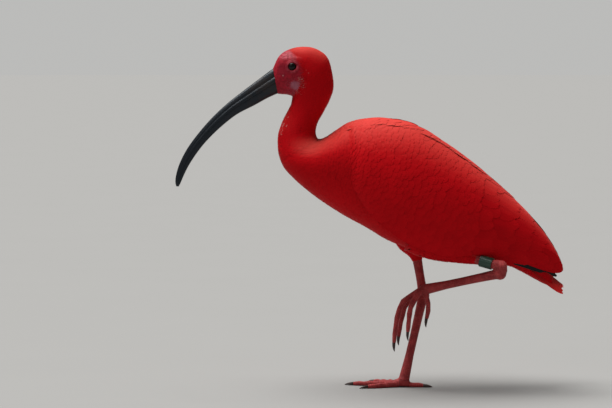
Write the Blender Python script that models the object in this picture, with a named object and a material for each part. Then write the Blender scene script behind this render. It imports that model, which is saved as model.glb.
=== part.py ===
"""A scarlet ibis standing on one leg, life size, as a still museum model.

Metres, +Z up. The bird looks along -X, its left side faces -Y, and the origin is on the floor, under
the toe joint of the standing foot. The tables hold millimetres from that origin.
"""

import math
import random

import bmesh
import bpy
from mathutils import Vector
from mathutils.bvhtree import BVHTree

MM = 0.001
GAP = 0.3
SEED = 11

# Sections of the head, neck and body: crest x and z, keel x and z, half width, all in mm.
BODY_SECTIONS = [
    (-134.9, 328.8, -129.8, 302.6, 8.6),  # face at the bill
    (-128.8, 341.2, -125.7, 302.1, 12.0),  # lores
    (-119.5, 347.9, -120.1, 301.6, 15.0),  # eyes
    (-106.1, 351.0, -115.4, 299.7, 17.0),  # crown
    (-91.7, 349.4, -115.5, 295.7, 17.5),
    (-79.3, 340.7, -116.4, 291.3, 17.5),  # back of the head
    (-74.2, 325.2, -118.5, 287.1, 16.5),
    (-72.6, 309.8, -121.0, 282.5, 15.5),  # nape
    (-76.2, 297.5, -124.1, 276.9, 15.0),
    (-82.4, 285.1, -127.2, 269.7, 15.5),
    (-88.6, 273.8, -129.8, 261.4, 16.5),
    (-90.7, 264.7, -130.5, 252.1, 18.0),
    (-89.6, 258.8, -129.5, 240.8, 21.5),  # foot of the neck
    (-86.6, 256.2, -124.7, 227.4, 27.0),
    (-79.3, 258.8, -114.4, 215.6, 33.0),
    (-68.0, 266.5, -101.0, 203.8, 38.5),
    (-55.6, 274.3, -84.5, 191.4, 42.5),  # shoulders
    (-39.2, 278.1, -61.8, 177.0, 44.5),
    (-18.6, 278.6, -39.2, 164.7, 45.5),
    (6.2, 271.9, -16.5, 151.3, 45.5),
    (31.9, 256.3, 8.2, 141.9, 43.0),
    (57.7, 233.7, 32.9, 135.7, 37.5),
    (83.4, 209.1, 59.7, 132.2, 30.0),
    (107.1, 184.4, 85.5, 128.7, 22.0),
    (123.6, 158.6, 107.1, 124.9, 13.0),  # end of the rump
]
HEAD_END, NECK_END, BODY_END = 7.0, 12.0, 24.0
HEAD_SIDES, NECK_SIDES, TORSO_SIDES = 26, 22, 28

# Sections of the bill: culmen x and z, lower edge x and z, half width, from the base to the tip.
BILL_SECTIONS = [
    (-135.1, 328.2, -130.2, 303.0, 7.6),
    (-150.4, 317.0, -140.1, 298.5, 6.3),
    (-164.3, 306.6, -154.0, 290.9, 5.5),
    (-181.3, 293.3, -172.0, 281.5, 4.8),
    (-197.8, 277.9, -188.5, 268.6, 4.3),
    (-212.2, 261.4, -203.4, 254.0, 3.9),
    (-223.2, 246.3, -213.7, 241.1, 3.5),
    (-230.7, 231.9, -221.8, 228.6, 3.1),
    (-234.5, 220.2, -226.9, 218.4, 2.7),
    (-235.5, 212.2, -229.8, 211.6, 2.1),
    (-234.6, 207.5, -232.0, 207.4, 0.9),
]
MOUTH_LINE = 0.57  # share of the bill's depth that the upper half takes
# Half of the upper bill's outline: across and up, as shares of the half width and of its depth.
UPPER_BILL_OUTLINE = [(0.98, 0.0), (1.0, 0.16), (0.94, 0.33), (0.72, 0.43), (0.76, 0.55), (0.60, 0.83), (0.28, 0.97)]
LOWER_BILL_OUTLINE = [(0.93, 0.0), (0.96, -0.3), (0.72, -0.78), (0.3, -0.98)]

# Sections of the folded left wing: top x and z, lower edge x and z, then y of the top edge,
# y of the lower edge and the half width of the bird there.
WING_SECTIONS = [
    (-59.6, 265.6, -54.6, 212.1, 22.0, 42.0, 43.0),  # bend of the wing
    (-43.3, 274.8, -43.3, 193.4, 20.0, 44.0, 50.5),
    (-19.6, 276.8, -24.7, 172.8, 17.0, 45.0, 54.0),
    (8.2, 271.7, 1.0, 154.3, 14.0, 43.0, 54.5),
    (37.1, 256.2, 32.9, 141.9, 10.0, 39.0, 51.5),
    (65.9, 236.1, 63.8, 135.7, 6.0, 34.0, 45.0),
    (94.7, 212.5, 93.7, 132.6, 3.0, 28.0, 36.5),
    (121.5, 187.7, 122.6, 127.9, 1.5, 21.0, 27.5),
    (143.2, 163.0, 144.2, 121.2, 1.5, 13.5, 18.0),
    (158.6, 138.8, 157.6, 115.0, 1.5, 8.5, 10.5),
    (166.8, 117.2, 164.8, 113.0, 1.2, 4.0, 4.6),  # tip
]
WING_STEPS_ALONG, WING_STEPS_ACROSS = 16, 9
WING_FRONT_DEPTH, WING_REAR_DEPTH = 11.0, 2.4
WING_CORE_LIFT = -0.9
WING_OVER_BODY = 1.3  # how far the wing's outer face stands above the body, at the least
PRIMARY_EDGE = 5.5  # height of the strip of dark primaries that shows under the red feathers, in mm
PRIMARY_INSET, PRIMARY_THICKNESS = 0.45, 1.2

# Feathers of a wing, a tier a line: how many, u of the first and the last tip, v of the first and the
# last, length in u, and width in mm. Each tier lies over the roots of the tier after it in the list.
WING_TIERS = {
    "tertials": (5, 0.90, 0.99, 0.16, 0.62, 0.34, 17.0),
    "lower tertials": (1, 0.88, 0.88, 0.80, 0.80, 0.28, 15.0),
    "secondaries": (5, 0.78, 0.67, 0.28, 0.88, 0.26, 19.0),
    "greater coverts": (6, 0.55, 0.50, 0.17, 0.90, 0.18, 19.0),
    "median coverts": (6, 0.40, 0.36, 0.15, 0.90, 0.15, 18.5),
    "lesser coverts": (5, 0.26, 0.23, 0.16, 0.88, 0.14, 19.0),
    "scapulars": (4, 0.72, 0.28, 0.03, 0.05, 0.22, 16.0),
}
FEATHER_RISE = 1.25  # how far a feather's tip stands above the wing's core
FEATHER_ROOT = -1.6
LONG_STATIONS = ((0.0, 0.55), (0.45, 0.95), (0.8, 1.0), (0.94, 0.72), (1.0, 0.22))  # along, share of the width
SHORT_STATIONS = ((0.0, 0.6), (0.62, 1.0), (0.91, 0.74), (1.0, 0.24))
TAIL_FEATHER_WIDTH = 10.5
MIDDLE_CLEARANCE = 0.25

# Sections of the tail's root: crest x and z, keel x and z, half width.
TAIL_SECTIONS = [
    (123.6, 158.6, 107.1, 124.9, 13.0),
    (131.4, 145.7, 118.4, 120.2, 13.5),
    (140.4, 133.7, 129.4, 114.4, 14.0),
    (148.4, 124.2, 139.7, 108.8, 14.5),
    (154.4, 116.7, 148.9, 104.5, 14.0),
]
TAIL_FAN_ROOT, TAIL_FAN_TIP = (118.4, 144.7), (165.4, 107.2)
TAIL_FEATHERS = 8
TAIL_FAN_HALF_WIDTH, TAIL_FAN_DROP = 15.5, 11.5

# The legs, as points in mm with a radius at each. The left leg is drawn up, the right one stands.
SOLE_CUT = 0.5
THIGH_PATHS = {
    "left": [(4.4, -21, 155.7, 15.0), (31.4, -24.5, 145.7, 13.0), (56.4, -27.5, 138.7, 9.0), (70.4, -30.5, 135.0, 6.3)],
    "right": [(1.4, 18, 158.2, 16.0), (7.9, 21, 147.2, 13.0), (12.4, 22.5, 138.2, 9.0), (14.6, 22.5, 130.7, 6.3)],
}
SHIN_ENDS = {"left": (97.0, -41.0, 128.4), "right": (20.6, 13.0, 94.7)}
HOCKS = {"left": (96.0, -39.0, 121.0), "right": (20.6, 13.0, 93.5)}
TOE_JOINTS = {"left": (20.6, 0.0, 100.7), "right": (0.0, 0.0, 5.9)}
PAD_RADII = {"left": 5.4, "right": 6.3}
HOCK_RADIUS = 6.8
HOCK_STUB = 7.0
BAND_PLACE, BAND_LENGTH, BAND_WALL = 0.6, 13.0, 0.9
TOE_RADII = (3.5, 3.0, 3.4, 2.7, 3.0, 2.4, 2.6, 2.1)
HALLUX_RADII = (3.0, 2.5, 2.7, 2.1)
CLAW_LENGTH, CLAW_RADIUS = 9.0, 1.8
STANDING_TOES = {  # direction round from -X towards +Y in degrees, length with the claw
    "inner": (-20.0, 49.0),
    "middle": (12.0, 62.0),
    "outer": (45.0, 51.0),
    "hind": (192.0, 30.0),
}
HANGING_TOES = {
    "middle": [(14.4, -1.0, 98.6), (-1.6, -2.0, 87.2), (-8.1, -2.0, 65.7), (-10.8, -2.0, 36.8)],
    "inner": [(14.9, 3.0, 97.2), (2.9, 7.5, 85.7), (-3.1, 9.0, 63.7), (-6.0, 9.0, 41.9)],
    "outer": [(14.9, -4.0, 97.2), (6.9, -10.0, 84.2), (4.4, -12.5, 66.7), (2.9, -13.0, 49.2)],
    "hind": [(22.7, -1.5, 95.2), (25.2, -3.5, 85.7), (23.9, -4.0, 72.7), (19.3, -4.0, 62.9)],
}


def catmull_rom(rows, t):
    """The row of numbers at the fractional index t, on a smooth curve through the rows."""
    last = len(rows) - 1
    i = max(0, min(int(t), last - 1))
    f = t - i
    here, ahead = rows[i], rows[i + 1]
    behind = rows[i - 1] if i > 0 else [2 * a - b for a, b in zip(here, ahead)]
    beyond = rows[i + 2] if i + 2 <= last else [2 * b - a for a, b in zip(here, ahead)]
    return [
        0.5 * (2 * b + (c - a) * f + (2 * a - 5 * b + 4 * c - d) * f**2 + (3 * b - a - 3 * c + d) * f**3)
        for a, b, c, d in zip(behind, here, ahead, beyond)
    ]


def mix(a, b, share):
    return a + (b - a) * share


def smooth_step(low, high, x):
    s = max(0.0, min(1.0, (x - low) / (high - low)))
    return s * s * (3 - 2 * s)


def finish_name(name, colour, roughness):
    """A plain material, with its colour, for one kind of surface."""
    material = bpy.data.materials.new(name)
    material.use_nodes = True
    shader = material.node_tree.nodes["Principled BSDF"]
    shader.inputs["Base Color"].default_value = (*colour, 1.0)
    shader.inputs["Roughness"].default_value = roughness
    material.diffuse_color = (*colour, 1.0)
    return material


def mesh_object(name, points, faces):
    """An object from points in mm, with its faces made to point out."""
    mesh = bpy.data.meshes.new(name)
    mesh.from_pydata([(x * MM, y * MM, z * MM) for x, y, z in points], [], faces)
    work = bmesh.new()
    work.from_mesh(mesh)
    bmesh.ops.recalc_face_normals(work, faces=work.faces)
    work.to_mesh(mesh)
    work.free()
    made = bpy.data.objects.new(name, mesh)
    bpy.context.scene.collection.objects.link(made)
    return made


def loft(name, rings):
    """A closed solid through rings of points, with a flat cap at each end."""
    sides = len(rings[0])
    faces = [tuple(range(sides)), tuple(range((len(rings) - 1) * sides, len(rings) * sides))]
    for r in range(len(rings) - 1):
        for k in range(sides):
            a, b = r * sides + k, r * sides + (k + 1) % sides
            faces += [(a, b, b + sides), (a, b + sides, a + sides)]
    return mesh_object(name, [p for ring in rings for p in ring], faces)


def settle(made, finish, smooth_angle=40.0):
    """Puts a finished node in the model's collection with its material and smooth shading."""
    for collection in list(made.users_collection):
        collection.objects.unlink(made)
    model.objects.link(made)
    made.data.materials.clear()
    made.data.materials.append(finish)
    made.data.shade_smooth()
    made.data.set_sharp_from_angle(angle=math.radians(smooth_angle))
    made.parent = bird
    return made


def to_mesh_object(source):
    """The evaluated mesh of an object, such as a curve, as a new object; the source is removed."""
    graph = bpy.context.evaluated_depsgraph_get()
    mesh = bpy.data.meshes.new_from_object(source.evaluated_get(graph))
    mesh.transform(source.matrix_world)
    name = source.name
    bpy.data.objects.remove(source)
    work = bmesh.new()
    work.from_mesh(mesh)
    bmesh.ops.remove_doubles(work, verts=work.verts, dist=0.01 * MM)
    bmesh.ops.recalc_face_normals(work, faces=work.faces)
    work.to_mesh(mesh)
    work.free()
    made = bpy.data.objects.new(name, mesh)
    bpy.context.scene.collection.objects.link(made)
    return made


def keep_largest(made):
    """Leaves only the closed surface that holds the most, and drops the scraps and sealed hollows."""
    work = bmesh.new()
    work.from_mesh(made.data)
    unseen, islands = set(work.verts), []
    while unseen:
        stack, island = [unseen.pop()], []
        while stack:
            vert = stack.pop()
            island.append(vert)
            for edge in vert.link_edges:
                other = edge.other_vert(vert)
                if other in unseen:
                    unseen.discard(other)
                    stack.append(other)
        islands.append(island)

    def extent(island):
        return sum(max(v.co[k] for v in island) - min(v.co[k] for v in island) for k in range(3))

    largest = max(islands, key=extent)
    for island in islands:
        if island is not largest:
            bmesh.ops.delete(work, geom=island, context="VERTS")
    work.to_mesh(made.data)
    work.free()
    return made


def boolean(made, others, operation, solver="MANIFOLD"):
    """Joins or cuts a solid by several others at once, applies it and removes those others."""
    group = bpy.data.collections.new("tools")
    bpy.context.scene.collection.children.link(group)
    for other in others:
        for collection in list(other.users_collection):
            collection.objects.unlink(other)
        group.objects.link(other)
    modifier = made.modifiers.new("join", "BOOLEAN")
    modifier.operation = operation
    modifier.operand_type = "COLLECTION"
    modifier.collection = group
    modifier.solver = solver
    graph = bpy.context.evaluated_depsgraph_get()
    mesh = bpy.data.meshes.new_from_object(made.evaluated_get(graph))
    made.modifiers.clear()
    made.data = mesh
    for other in others:
        bpy.data.objects.remove(other)
    bpy.data.collections.remove(group)
    return keep_largest(made)


def body_ring(t, sides, grow=0.0, shift=0.0):
    """One section of the head, neck or body: an oval from the keel to the crest, shifted along its normal."""
    crest_x, crest_z, keel_x, keel_z, half_width = catmull_rom(BODY_SECTIONS, t)
    crest, keel = Vector((crest_x, 0, crest_z)), Vector((keel_x, 0, keel_z))
    middle = (crest + keel) / 2
    up = (crest - keel).normalized()
    ahead = Vector((0, 1, 0)).cross(up)
    half_height = (crest - keel).length / 2 + grow
    return [
        middle
        + up * half_height * math.cos(2 * math.pi * k / sides)
        + Vector((0, (half_width + grow) * math.sin(2 * math.pi * k / sides), 0))
        + ahead * shift
        for k in range(sides)
    ]


def body_length(name, first, last, steps, sides, grow=0.0):
    """A length of the body between two sections; half the gap is taken off where it meets another."""
    rings = []
    for i in range(steps + 1):
        shift = GAP / 2 if i == 0 and first > 0 else -GAP / 2 if i == steps else 0.0
        rings.append(body_ring(mix(first, last, i / steps), sides, grow, shift))
    return loft(name, rings)


def surface_y(made, x, z):
    """How far out the left side of a solid reaches at a place seen from the side, in mm."""
    graph = bpy.context.evaluated_depsgraph_get()
    tree = BVHTree.FromObject(made, graph)
    hit, _, _, _ = tree.ray_cast(Vector((x * MM, -1.0, z * MM)), Vector((0, 1, 0)))
    return hit.y / MM


EYE_X, EYE_Z = -115.0, 330.6
EYE_RADIUS = 5.0
EYE_OPENING = 3.9
EYE_BULGE = 1.3  # how far the eyeball stands out of the skin around it
LID_THICKNESS = 0.8
GAPE = ((-131.4, 313.4), (-127.6, 314.9), (-122.6, 317.6))  # the corner of the mouth, x and z
NOSTRIL = ((-146.5, 317.6), (-139.5, 322.4))


def ball(name, centre, radius, segments=16, rings=9):
    bpy.ops.mesh.primitive_uv_sphere_add(
        segments=segments, ring_count=rings, radius=radius * MM,
        location=(centre[0] * MM, centre[1] * MM, centre[2] * MM),
        rotation=(math.pi / 2, 0, 0),
    )
    made = bpy.context.object
    made.name = name
    bpy.ops.object.transform_apply(location=True, rotation=True, scale=True)
    return made


def lid_ring(name, centre_y, side):
    """The two lids of one eye, as a ring a little longer than high."""
    bpy.ops.mesh.primitive_torus_add(
        major_radius=EYE_OPENING * MM, minor_radius=LID_THICKNESS * MM, major_segments=18, minor_segments=5,
        location=(EYE_X * MM, side * centre_y * MM, EYE_Z * MM), rotation=(math.pi / 2, 0, 0),
    )
    made = bpy.context.object
    made.name = name
    made.scale = (1.12, 1.0, 1.0)
    bpy.ops.object.transform_apply(location=True, rotation=True, scale=True)
    return made


def make_head():
    head = body_length("head", 0.0, HEAD_END, 14, HEAD_SIDES)
    skin_y = -surface_y(head, EYE_X, EYE_Z)
    centre_y = skin_y + EYE_BULGE - EYE_RADIUS
    lids = [lid_ring("lids", skin_y - 0.1, side) for side in (-1, 1)]
    boolean(head, lids, "UNION")
    cutters = [ball("socket", (EYE_X, side * centre_y, EYE_Z), EYE_RADIUS + GAP) for side in (-1, 1)]
    for side in (-1, 1):
        corner = [(x, side * (-surface_y(head, x, z) - 0.1), z, 0.8) for x, z in GAPE]
        cutters.append(limb("gape", corner, sides=6))
    boolean(head, cutters, "DIFFERENCE")
    settle(head, red_skin)
    for side, word in ((-1, "left"), (1, "right")):
        settle(ball(f"{word}_eye", (EYE_X, side * centre_y, EYE_Z), EYE_RADIUS), dark_eye, 80)


def bill_ring(t, outline, upper):
    """One section of the upper or lower bill: its half outline on both sides of the middle."""
    culmen_x, culmen_z, lower_x, lower_z, half_width = catmull_rom(BILL_SECTIONS, t)
    culmen, lower = Vector((culmen_x, 0, culmen_z)), Vector((lower_x, 0, lower_z))
    up = (culmen - lower).normalized()
    depth = (culmen - lower).length
    share = MOUTH_LINE if upper else 1 - MOUTH_LINE
    mouth = culmen + (lower - culmen) * MOUTH_LINE + up * (GAP / 2 if upper else -GAP / 2)
    tall = depth * share - GAP / 2
    middle = (0.0, 1.0 if upper else -1.0)
    half = outline if upper else [(a, b) for a, b in outline]
    whole = half + [middle] + [(-a, b) for a, b in reversed(half)]
    return [mouth + up * (b * tall) + Vector((0, a * half_width, 0)) for a, b in whole]


def make_bill():
    steps = 17
    last = len(BILL_SECTIONS) - 1
    for name, outline, upper in (("bill_upper", UPPER_BILL_OUTLINE, True), ("bill_lower", LOWER_BILL_OUTLINE, False)):
        made = loft(name, [bill_ring(last * i / steps, outline, upper) for i in range(steps + 1)])
        if upper:
            slits = []
            for side in (-1, 1):
                reach = [(x, side * (-surface_y(made, x, z) + 0.25), z, 0.75) for x, z in NOSTRIL]
                slits.append(limb("nostril", reach, sides=6))
            boolean(made, slits, "DIFFERENCE")
        settle(made, dark_horn, 30)


def wing_point(u, v, lift, side=-1):
    """A place on a folded wing: u runs from its bend to its tip, v from its top edge to its lower edge."""
    p = wing_place(u, v)
    if lift:
        step = 0.004
        along = wing_place(min(u + step, 1), v) - wing_place(max(u - step, 0), v)
        across = wing_place(u, v + step) - wing_place(u, v - step)
        p = p + across.cross(along).normalized() * lift
    p.y = -max(-p.y, MIDDLE_CLEARANCE)
    return Vector((p.x, -side * p.y, p.z))


def wing_place(u, v):
    top_x, top_z, low_x, low_z, top_y, low_y, half_width = catmull_rom(WING_SECTIONS, u * (len(WING_SECTIONS) - 1))
    start = math.asin(min(1, top_y / half_width))
    end = math.pi - math.asin(min(1, low_y / half_width))
    angle = mix(start, end, v)
    share = (math.cos(start) - math.cos(angle)) / (math.cos(start) - math.cos(end))
    return Vector((mix(top_x, low_x, share), -half_width * math.sin(angle), mix(top_z, low_z, share)))


def lower_limit(u):
    """The v at which the red feathers end and the dark primaries show below them."""
    height = wing_place(u, 0).z - wing_place(u, 1).z
    return mix(1.0, max(0.55, 1 - PRIMARY_EDGE / height), smooth_step(0.58, 0.66, u))


def wing_face(u, v, lift, side=-1):
    """A place above or under the outer face of the wing's core, the body kept below it."""
    return over_body(wing_point(u, v, WING_CORE_LIFT + lift, side), u, lift)


def over_body(place, u, lift=0.0):
    """The same place on a wing, raised where the body would come through; the front edge sinks into the body."""
    hit, normal, _, _ = body_surface.find_nearest(place * MM)
    height = (place * MM - hit).dot(normal) / MM
    least = mix(-0.8, WING_OVER_BODY, smooth_step(0.0, 0.05, u)) + lift
    return place + normal * (least - height) if height < least else place


def wing_depth(u, v):
    """How thick the wing's core is: deepest over the arm, thin at the edges and towards the tip."""
    middle = math.sin(math.pi * max(0, min(1, v))) ** 0.5
    front = WING_FRONT_DEPTH * (0.35 + 0.65 * middle)
    return mix(front, WING_REAR_DEPTH, smooth_step(0.35, 0.75, u))


def shell(name, outer, inner, along, across):
    """A closed solid between two grids of points of the same size."""
    points = outer + inner
    half = len(outer)
    faces = []

    def at(i, j, layer):
        return layer * half + i * (across + 1) + j

    for i in range(along):
        for j in range(across):
            for layer in (0, 1):
                a, b, c, d = at(i, j, layer), at(i + 1, j, layer), at(i + 1, j + 1, layer), at(i, j + 1, layer)
                faces += [(a, b, c), (a, c, d)] if layer else [(a, c, b), (a, d, c)]
    for i in range(along):
        for j in (0, across):
            faces.append((at(i, j, 0), at(i + 1, j, 0), at(i + 1, j, 1), at(i, j, 1)))
    for j in range(across):
        for i in (0, along):
            faces.append((at(i, j, 0), at(i, j + 1, 0), at(i, j + 1, 1), at(i, j, 1)))
    return mesh_object(name, points, faces)


def wing_core(name, side, grow=0.0):
    outer, inner = [], []
    for i in range(WING_STEPS_ALONG + 1):
        u = i / WING_STEPS_ALONG
        for j in range(WING_STEPS_ACROSS + 1):
            v = mix(-0.01 * grow, lower_limit(u) + 0.01 * grow, j / WING_STEPS_ACROSS)
            outer.append(wing_face(u, v, grow, side))
            inner.append(wing_point(u, v, WING_CORE_LIFT - wing_depth(u, v) - grow, side))
    return shell(name, outer, inner, WING_STEPS_ALONG, WING_STEPS_ACROSS)


def feather(name, face, root, tip, width, stations, rise, depth, tilt=0.3):
    """One flight feather or covert on a curved face, with its root sunk in and its rounded tip raised."""
    points, faces = [], []
    for s, share in stations:
        u, v = mix(root[0], tip[0], s), mix(root[1], tip[1], s)
        scale = (face(u, v + 0.01, 0) - face(u, v - 0.01, 0)).length / 0.02
        half = width / 2 * share / scale
        lift = mix(FEATHER_ROOT, rise, smooth_step(0.0, 0.6, s))
        points += [
            face(u, v - half, lift - tilt),
            face(u, v, lift + 0.2),
            face(u, v + half, lift + tilt * 0.5),
            face(u, v, lift - mix(depth * 2, depth, smooth_step(0.3, 0.8, s))),
        ]
    for i in range(len(stations) - 1):
        for k in range(4):
            a, b = 4 * i + k, 4 * i + (k + 1) % 4
            faces += [(a, b, b + 4), (a, b + 4, a + 4)]
    last = 4 * (len(stations) - 1)
    faces += [(0, 1, 2, 3), (last, last + 1, last + 2, last + 3)]
    return mesh_object(name, points, faces)


def wing_feathers(side):
    random.seed(SEED)  # the two wings are alike
    made = []
    for kind, (count, tip_a, tip_b, v_a, v_b, length, width) in WING_TIERS.items():
        for n in range(count):
            share = n / max(1, count - 1)
            tip_u = min(0.995, mix(tip_a, tip_b, share) + random.uniform(-0.008, 0.008))
            tip_v = mix(v_a, v_b, share)
            root_u = tip_u - length
            root_v = mix(tip_v, 0.45, 0.12) if root_u > 0.3 else tip_v
            tip_v = min(tip_v, lower_limit(tip_u) - 0.02)

            def face(u, v, lift):
                return wing_face(u, min(v, lower_limit(min(u, 1)) + 0.012), lift, side)

            stations = LONG_STATIONS if length > 0.2 else SHORT_STATIONS
            made.append(feather(kind, face, (root_u, root_v), (tip_u, tip_v), width, stations, FEATHER_RISE, 0.8))
    return made


def primaries_shell(name, side):
    """The dark flight feathers that show as a strip along the lower rear edge, a little further in."""
    outer, inner = [], []
    along, across = 10, 4
    for i in range(along + 1):
        u = mix(0.6, 0.985, i / along)
        for j in range(across + 1):
            v = mix(lower_limit(u) - 0.08, 1.0, j / across)
            under = WING_CORE_LIFT - wing_depth(u, v) - PRIMARY_INSET
            outer.append(wing_point(u, v, under, side))
            inner.append(wing_point(u, v, under - PRIMARY_THICKNESS, side))
    return shell(name, outer, inner, along, across)


def leg_cutters(word):
    """What keeps a wing clear of the thigh, the shin and the band on the shin."""
    cutters = [limb("cutter", shorten(thigh_path(word), 0, -GAP), GAP, 16)]
    if word == "left":
        shin = shin_path(word)
        band_radius = max(row[3] for row in shin[1:-1]) + GAP + BAND_WALL
        cutters.append(limb("cutter", [(*row[:3], band_radius) for row in shorten(shin, -2, -8)], GAP, 16))
    return cutters


def make_wings():
    for side, word in ((-1, "left"), (1, "right")):
        wing = wing_core(f"{word}_wing", side)
        boolean(wing, wing_feathers(side), "UNION")
        boolean(wing, [body_cutter(), tail_core(GAP), tail_fan(GAP), *leg_cutters(word)], "DIFFERENCE")
        settle(wing, scarlet_feather, 25)
        dark = primaries_shell(f"{word}_primaries", side)
        boolean(dark, [body_cutter(), tail_core(GAP), tail_fan(GAP), wing_core("cutter", side, GAP)], "DIFFERENCE")
        settle(dark, black_feather)


def tail_point(along, across, lift):
    """A place on the arched fan of the tail: along from root to tip, across from -1 to 1."""
    root, tip = Vector((TAIL_FAN_ROOT[0], 0, TAIL_FAN_ROOT[1])), Vector((TAIL_FAN_TIP[0], 0, TAIL_FAN_TIP[1]))
    ahead = (tip - root).normalized()
    up = Vector((-ahead.z, 0, ahead.x))
    spread = mix(0.72, 1.0, along)
    sink = TAIL_FAN_DROP * across * across * mix(0.8, 1.0, along)
    centre = root + (tip - root) * along + ahead * (2.5 * across * across * along)
    return centre + up * (lift - sink) + Vector((0, across * TAIL_FAN_HALF_WIDTH * spread, 0))


def section_ring(row, sides, shift=0.0, grow=0.0):
    crest_x, crest_z, keel_x, keel_z, half_width = row
    crest, keel = Vector((crest_x, 0, crest_z)), Vector((keel_x, 0, keel_z))
    up = (crest - keel).normalized()
    ahead = Vector((0, 1, 0)).cross(up)
    return [
        (crest + keel) / 2
        + up * ((crest - keel).length / 2 + grow) * math.cos(2 * math.pi * k / sides)
        + Vector((0, (half_width + grow) * math.sin(2 * math.pi * k / sides), 0))
        + ahead * shift
        for k in range(sides)
    ]


def tail_core(grow=0.0):
    last = len(TAIL_SECTIONS) - 1
    shifts = [GAP / 2 - grow] + [0.0] * 7 + [grow]
    rows = [catmull_rom(TAIL_SECTIONS, last * i / 8) for i in range(9)]
    return loft("tail", [section_ring(row, 24, shift, grow) for row, shift in zip(rows, shifts)])


def tail_fan(grow=0.0):
    """The fan that the tail feathers lie on. Grown, it is large enough to keep others clear of those feathers."""
    top, under = [], []
    edge = 1 + (3 + grow) / TAIL_FAN_HALF_WIDTH if grow else 0.97
    end = 1.05 if grow else 0.94
    above = 2.1 + grow if grow else 0.6
    for i in range(5):
        for j in range(13):
            place = (mix(0.35, end, i / 4), (-1 + 2 * j / 12) * edge)
            top.append(tail_point(*place, above))
            under.append(tail_point(*place, -0.6 - grow))
    return shell("fan", top, under, 4, 12)


def tail_feathers():
    made = []
    for n in range(TAIL_FEATHERS):
        across = -1 + 2 * n / (TAIL_FEATHERS - 1)
        inward = 1 if across < 0 else -1

        def face(along, side, lift):
            return tail_point(along, side, lift + 0.7 * (1 - abs(across)))

        tip = (1.0 + random.uniform(-0.012, 0.012), across * 0.93)
        made.append(
            feather("rectrix", face, (0.4, across * 0.8), tip, TAIL_FEATHER_WIDTH, SHORT_STATIONS, 0.8, 1.2, 0.25 * inward)
        )
    return made


def make_tail():
    tail = tail_core()
    boolean(tail, [tail_fan(), *tail_feathers()], "UNION")
    settle(tail, scarlet_feather, 25)


def limb(name, path, extra=0.0, sides=10):
    """A tapering round rod through points that each have a radius, with flat ends."""
    curve = bpy.data.curves.new(name, "CURVE")
    curve.dimensions = "3D"
    curve.bevel_depth = MM
    curve.bevel_resolution = sides // 2 - 2
    curve.use_fill_caps = True
    spline = curve.splines.new("POLY")
    spline.points.add(len(path) - 1)
    for point, (x, y, z, radius) in zip(spline.points, path):
        point.co = (x * MM, y * MM, z * MM, 1)
        point.radius = radius + extra
    made = bpy.data.objects.new(name, curve)
    bpy.context.scene.collection.objects.link(made)
    return to_mesh_object(made)


def smooth_path(path, steps):
    """The same path with more points, on a smooth curve through the given ones."""
    return [catmull_rom(path, (len(path) - 1) * i / steps) for i in range(steps + 1)]


def shorten(path, start, end):
    """The path with its first and last points moved in along it by these lengths."""
    rows = [list(row) for row in path]
    for at, neighbour, length in ((0, 1, start), (-1, -2, end)):
        here, there = Vector(rows[at][:3]), Vector(rows[neighbour][:3])
        rows[at][:3] = here + (there - here).normalized() * length
    return rows


def body_cutter():
    return body_length("cutter", NECK_END, BODY_END, 18, TORSO_SIDES, GAP)


def thigh_path(word):
    """The thigh's rod, whose last step already runs along the shin, so that the two end faces are parallel."""
    rows = smooth_path(THIGH_PATHS[word], 8)
    end = Vector(rows[-1][:3])
    ahead = (Vector(SHIN_ENDS[word]) - end).normalized()
    return [*rows[:-1], (*(end - ahead * 2), rows[-1][3] + 0.4), rows[-1]]


def shin_path(word):
    """The bare shin from the end of the thigh to the stub above the hock."""
    x, y, z, radius = THIGH_PATHS[word][-1]
    start, last = Vector((x, y, z)), Vector(SHIN_ENDS[word])
    end = last + (start - last).normalized() * HOCK_STUB
    rows = []
    for i in range(7):
        share = i / 6
        p = start.lerp(end, share)
        rows.append((p.x, p.y, p.z, mix(5.1, 4.5, math.sin(math.pi * min(share * 1.2, 1) / 2)) + 0.5 * share**6))
    return rows


def make_leg(word):
    thigh = limb(f"{word}_thigh", shorten(thigh_path(word), 0, GAP / 2), sides=16)
    boolean(thigh, [body_cutter()], "DIFFERENCE")
    settle(thigh, scarlet_feather)
    settle(limb(f"{word}_shin", shorten(shin_path(word), GAP / 2, GAP / 2), sides=12), leg_skin)

    shin_end, stub_end = Vector(shin_path(word)[-1][:3]), Vector(SHIN_ENDS[word])
    hock, joint = Vector(HOCKS[word]), Vector(TOE_JOINTS[word])
    down = (joint - hock).normalized()
    shank = []
    for share, radius in ((0, 5.6), (0.1, 5.0), (0.25, 4.6), (0.5, 4.3), (0.75, 4.4), (0.9, 5.0), (1, 5.5)):
        p = hock.lerp(joint - down * 6.5, share)
        shank.append((p.x, p.y, p.z, radius))
    tarsus = limb(f"{word}_tarsus", shorten(shank, 0, GAP / 2), sides=12)
    stub_start = shin_end + (stub_end - shin_end).normalized() * GAP / 2
    middle = stub_start.lerp(stub_end, 0.5)
    stub = limb("stub", [(*stub_start, 5.1), (*middle, 5.7), (*stub_end, 6.0)], sides=12)
    knobs = [ball("knob", place, radius, 12, 7) for place, radius in ((hock, HOCK_RADIUS), (stub_end, 6.4))]
    boolean(tarsus, [stub, *knobs], "UNION")
    settle(tarsus, leg_skin)


def standing_toe(kind):
    """Points of a toe on the floor from the toe joint to its claw's root, and its direction."""
    turn, length = STANDING_TOES[kind]
    ahead = Vector((-math.cos(math.radians(turn)), math.sin(math.radians(turn)), 0))
    joint = Vector(TOE_JOINTS["right"])
    radii = HALLUX_RADII if kind == "hind" else TOE_RADII
    length -= CLAW_LENGTH
    rows = [(*joint, 4.4)]
    for i, radius in enumerate(radii):
        share = 0.22 + 0.78 * i / (len(radii) - 1)
        p = joint + ahead * length * share
        height = radius - SOLE_CUT
        rows.append((p.x, p.y, height, radius))
    return rows, ahead


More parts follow.
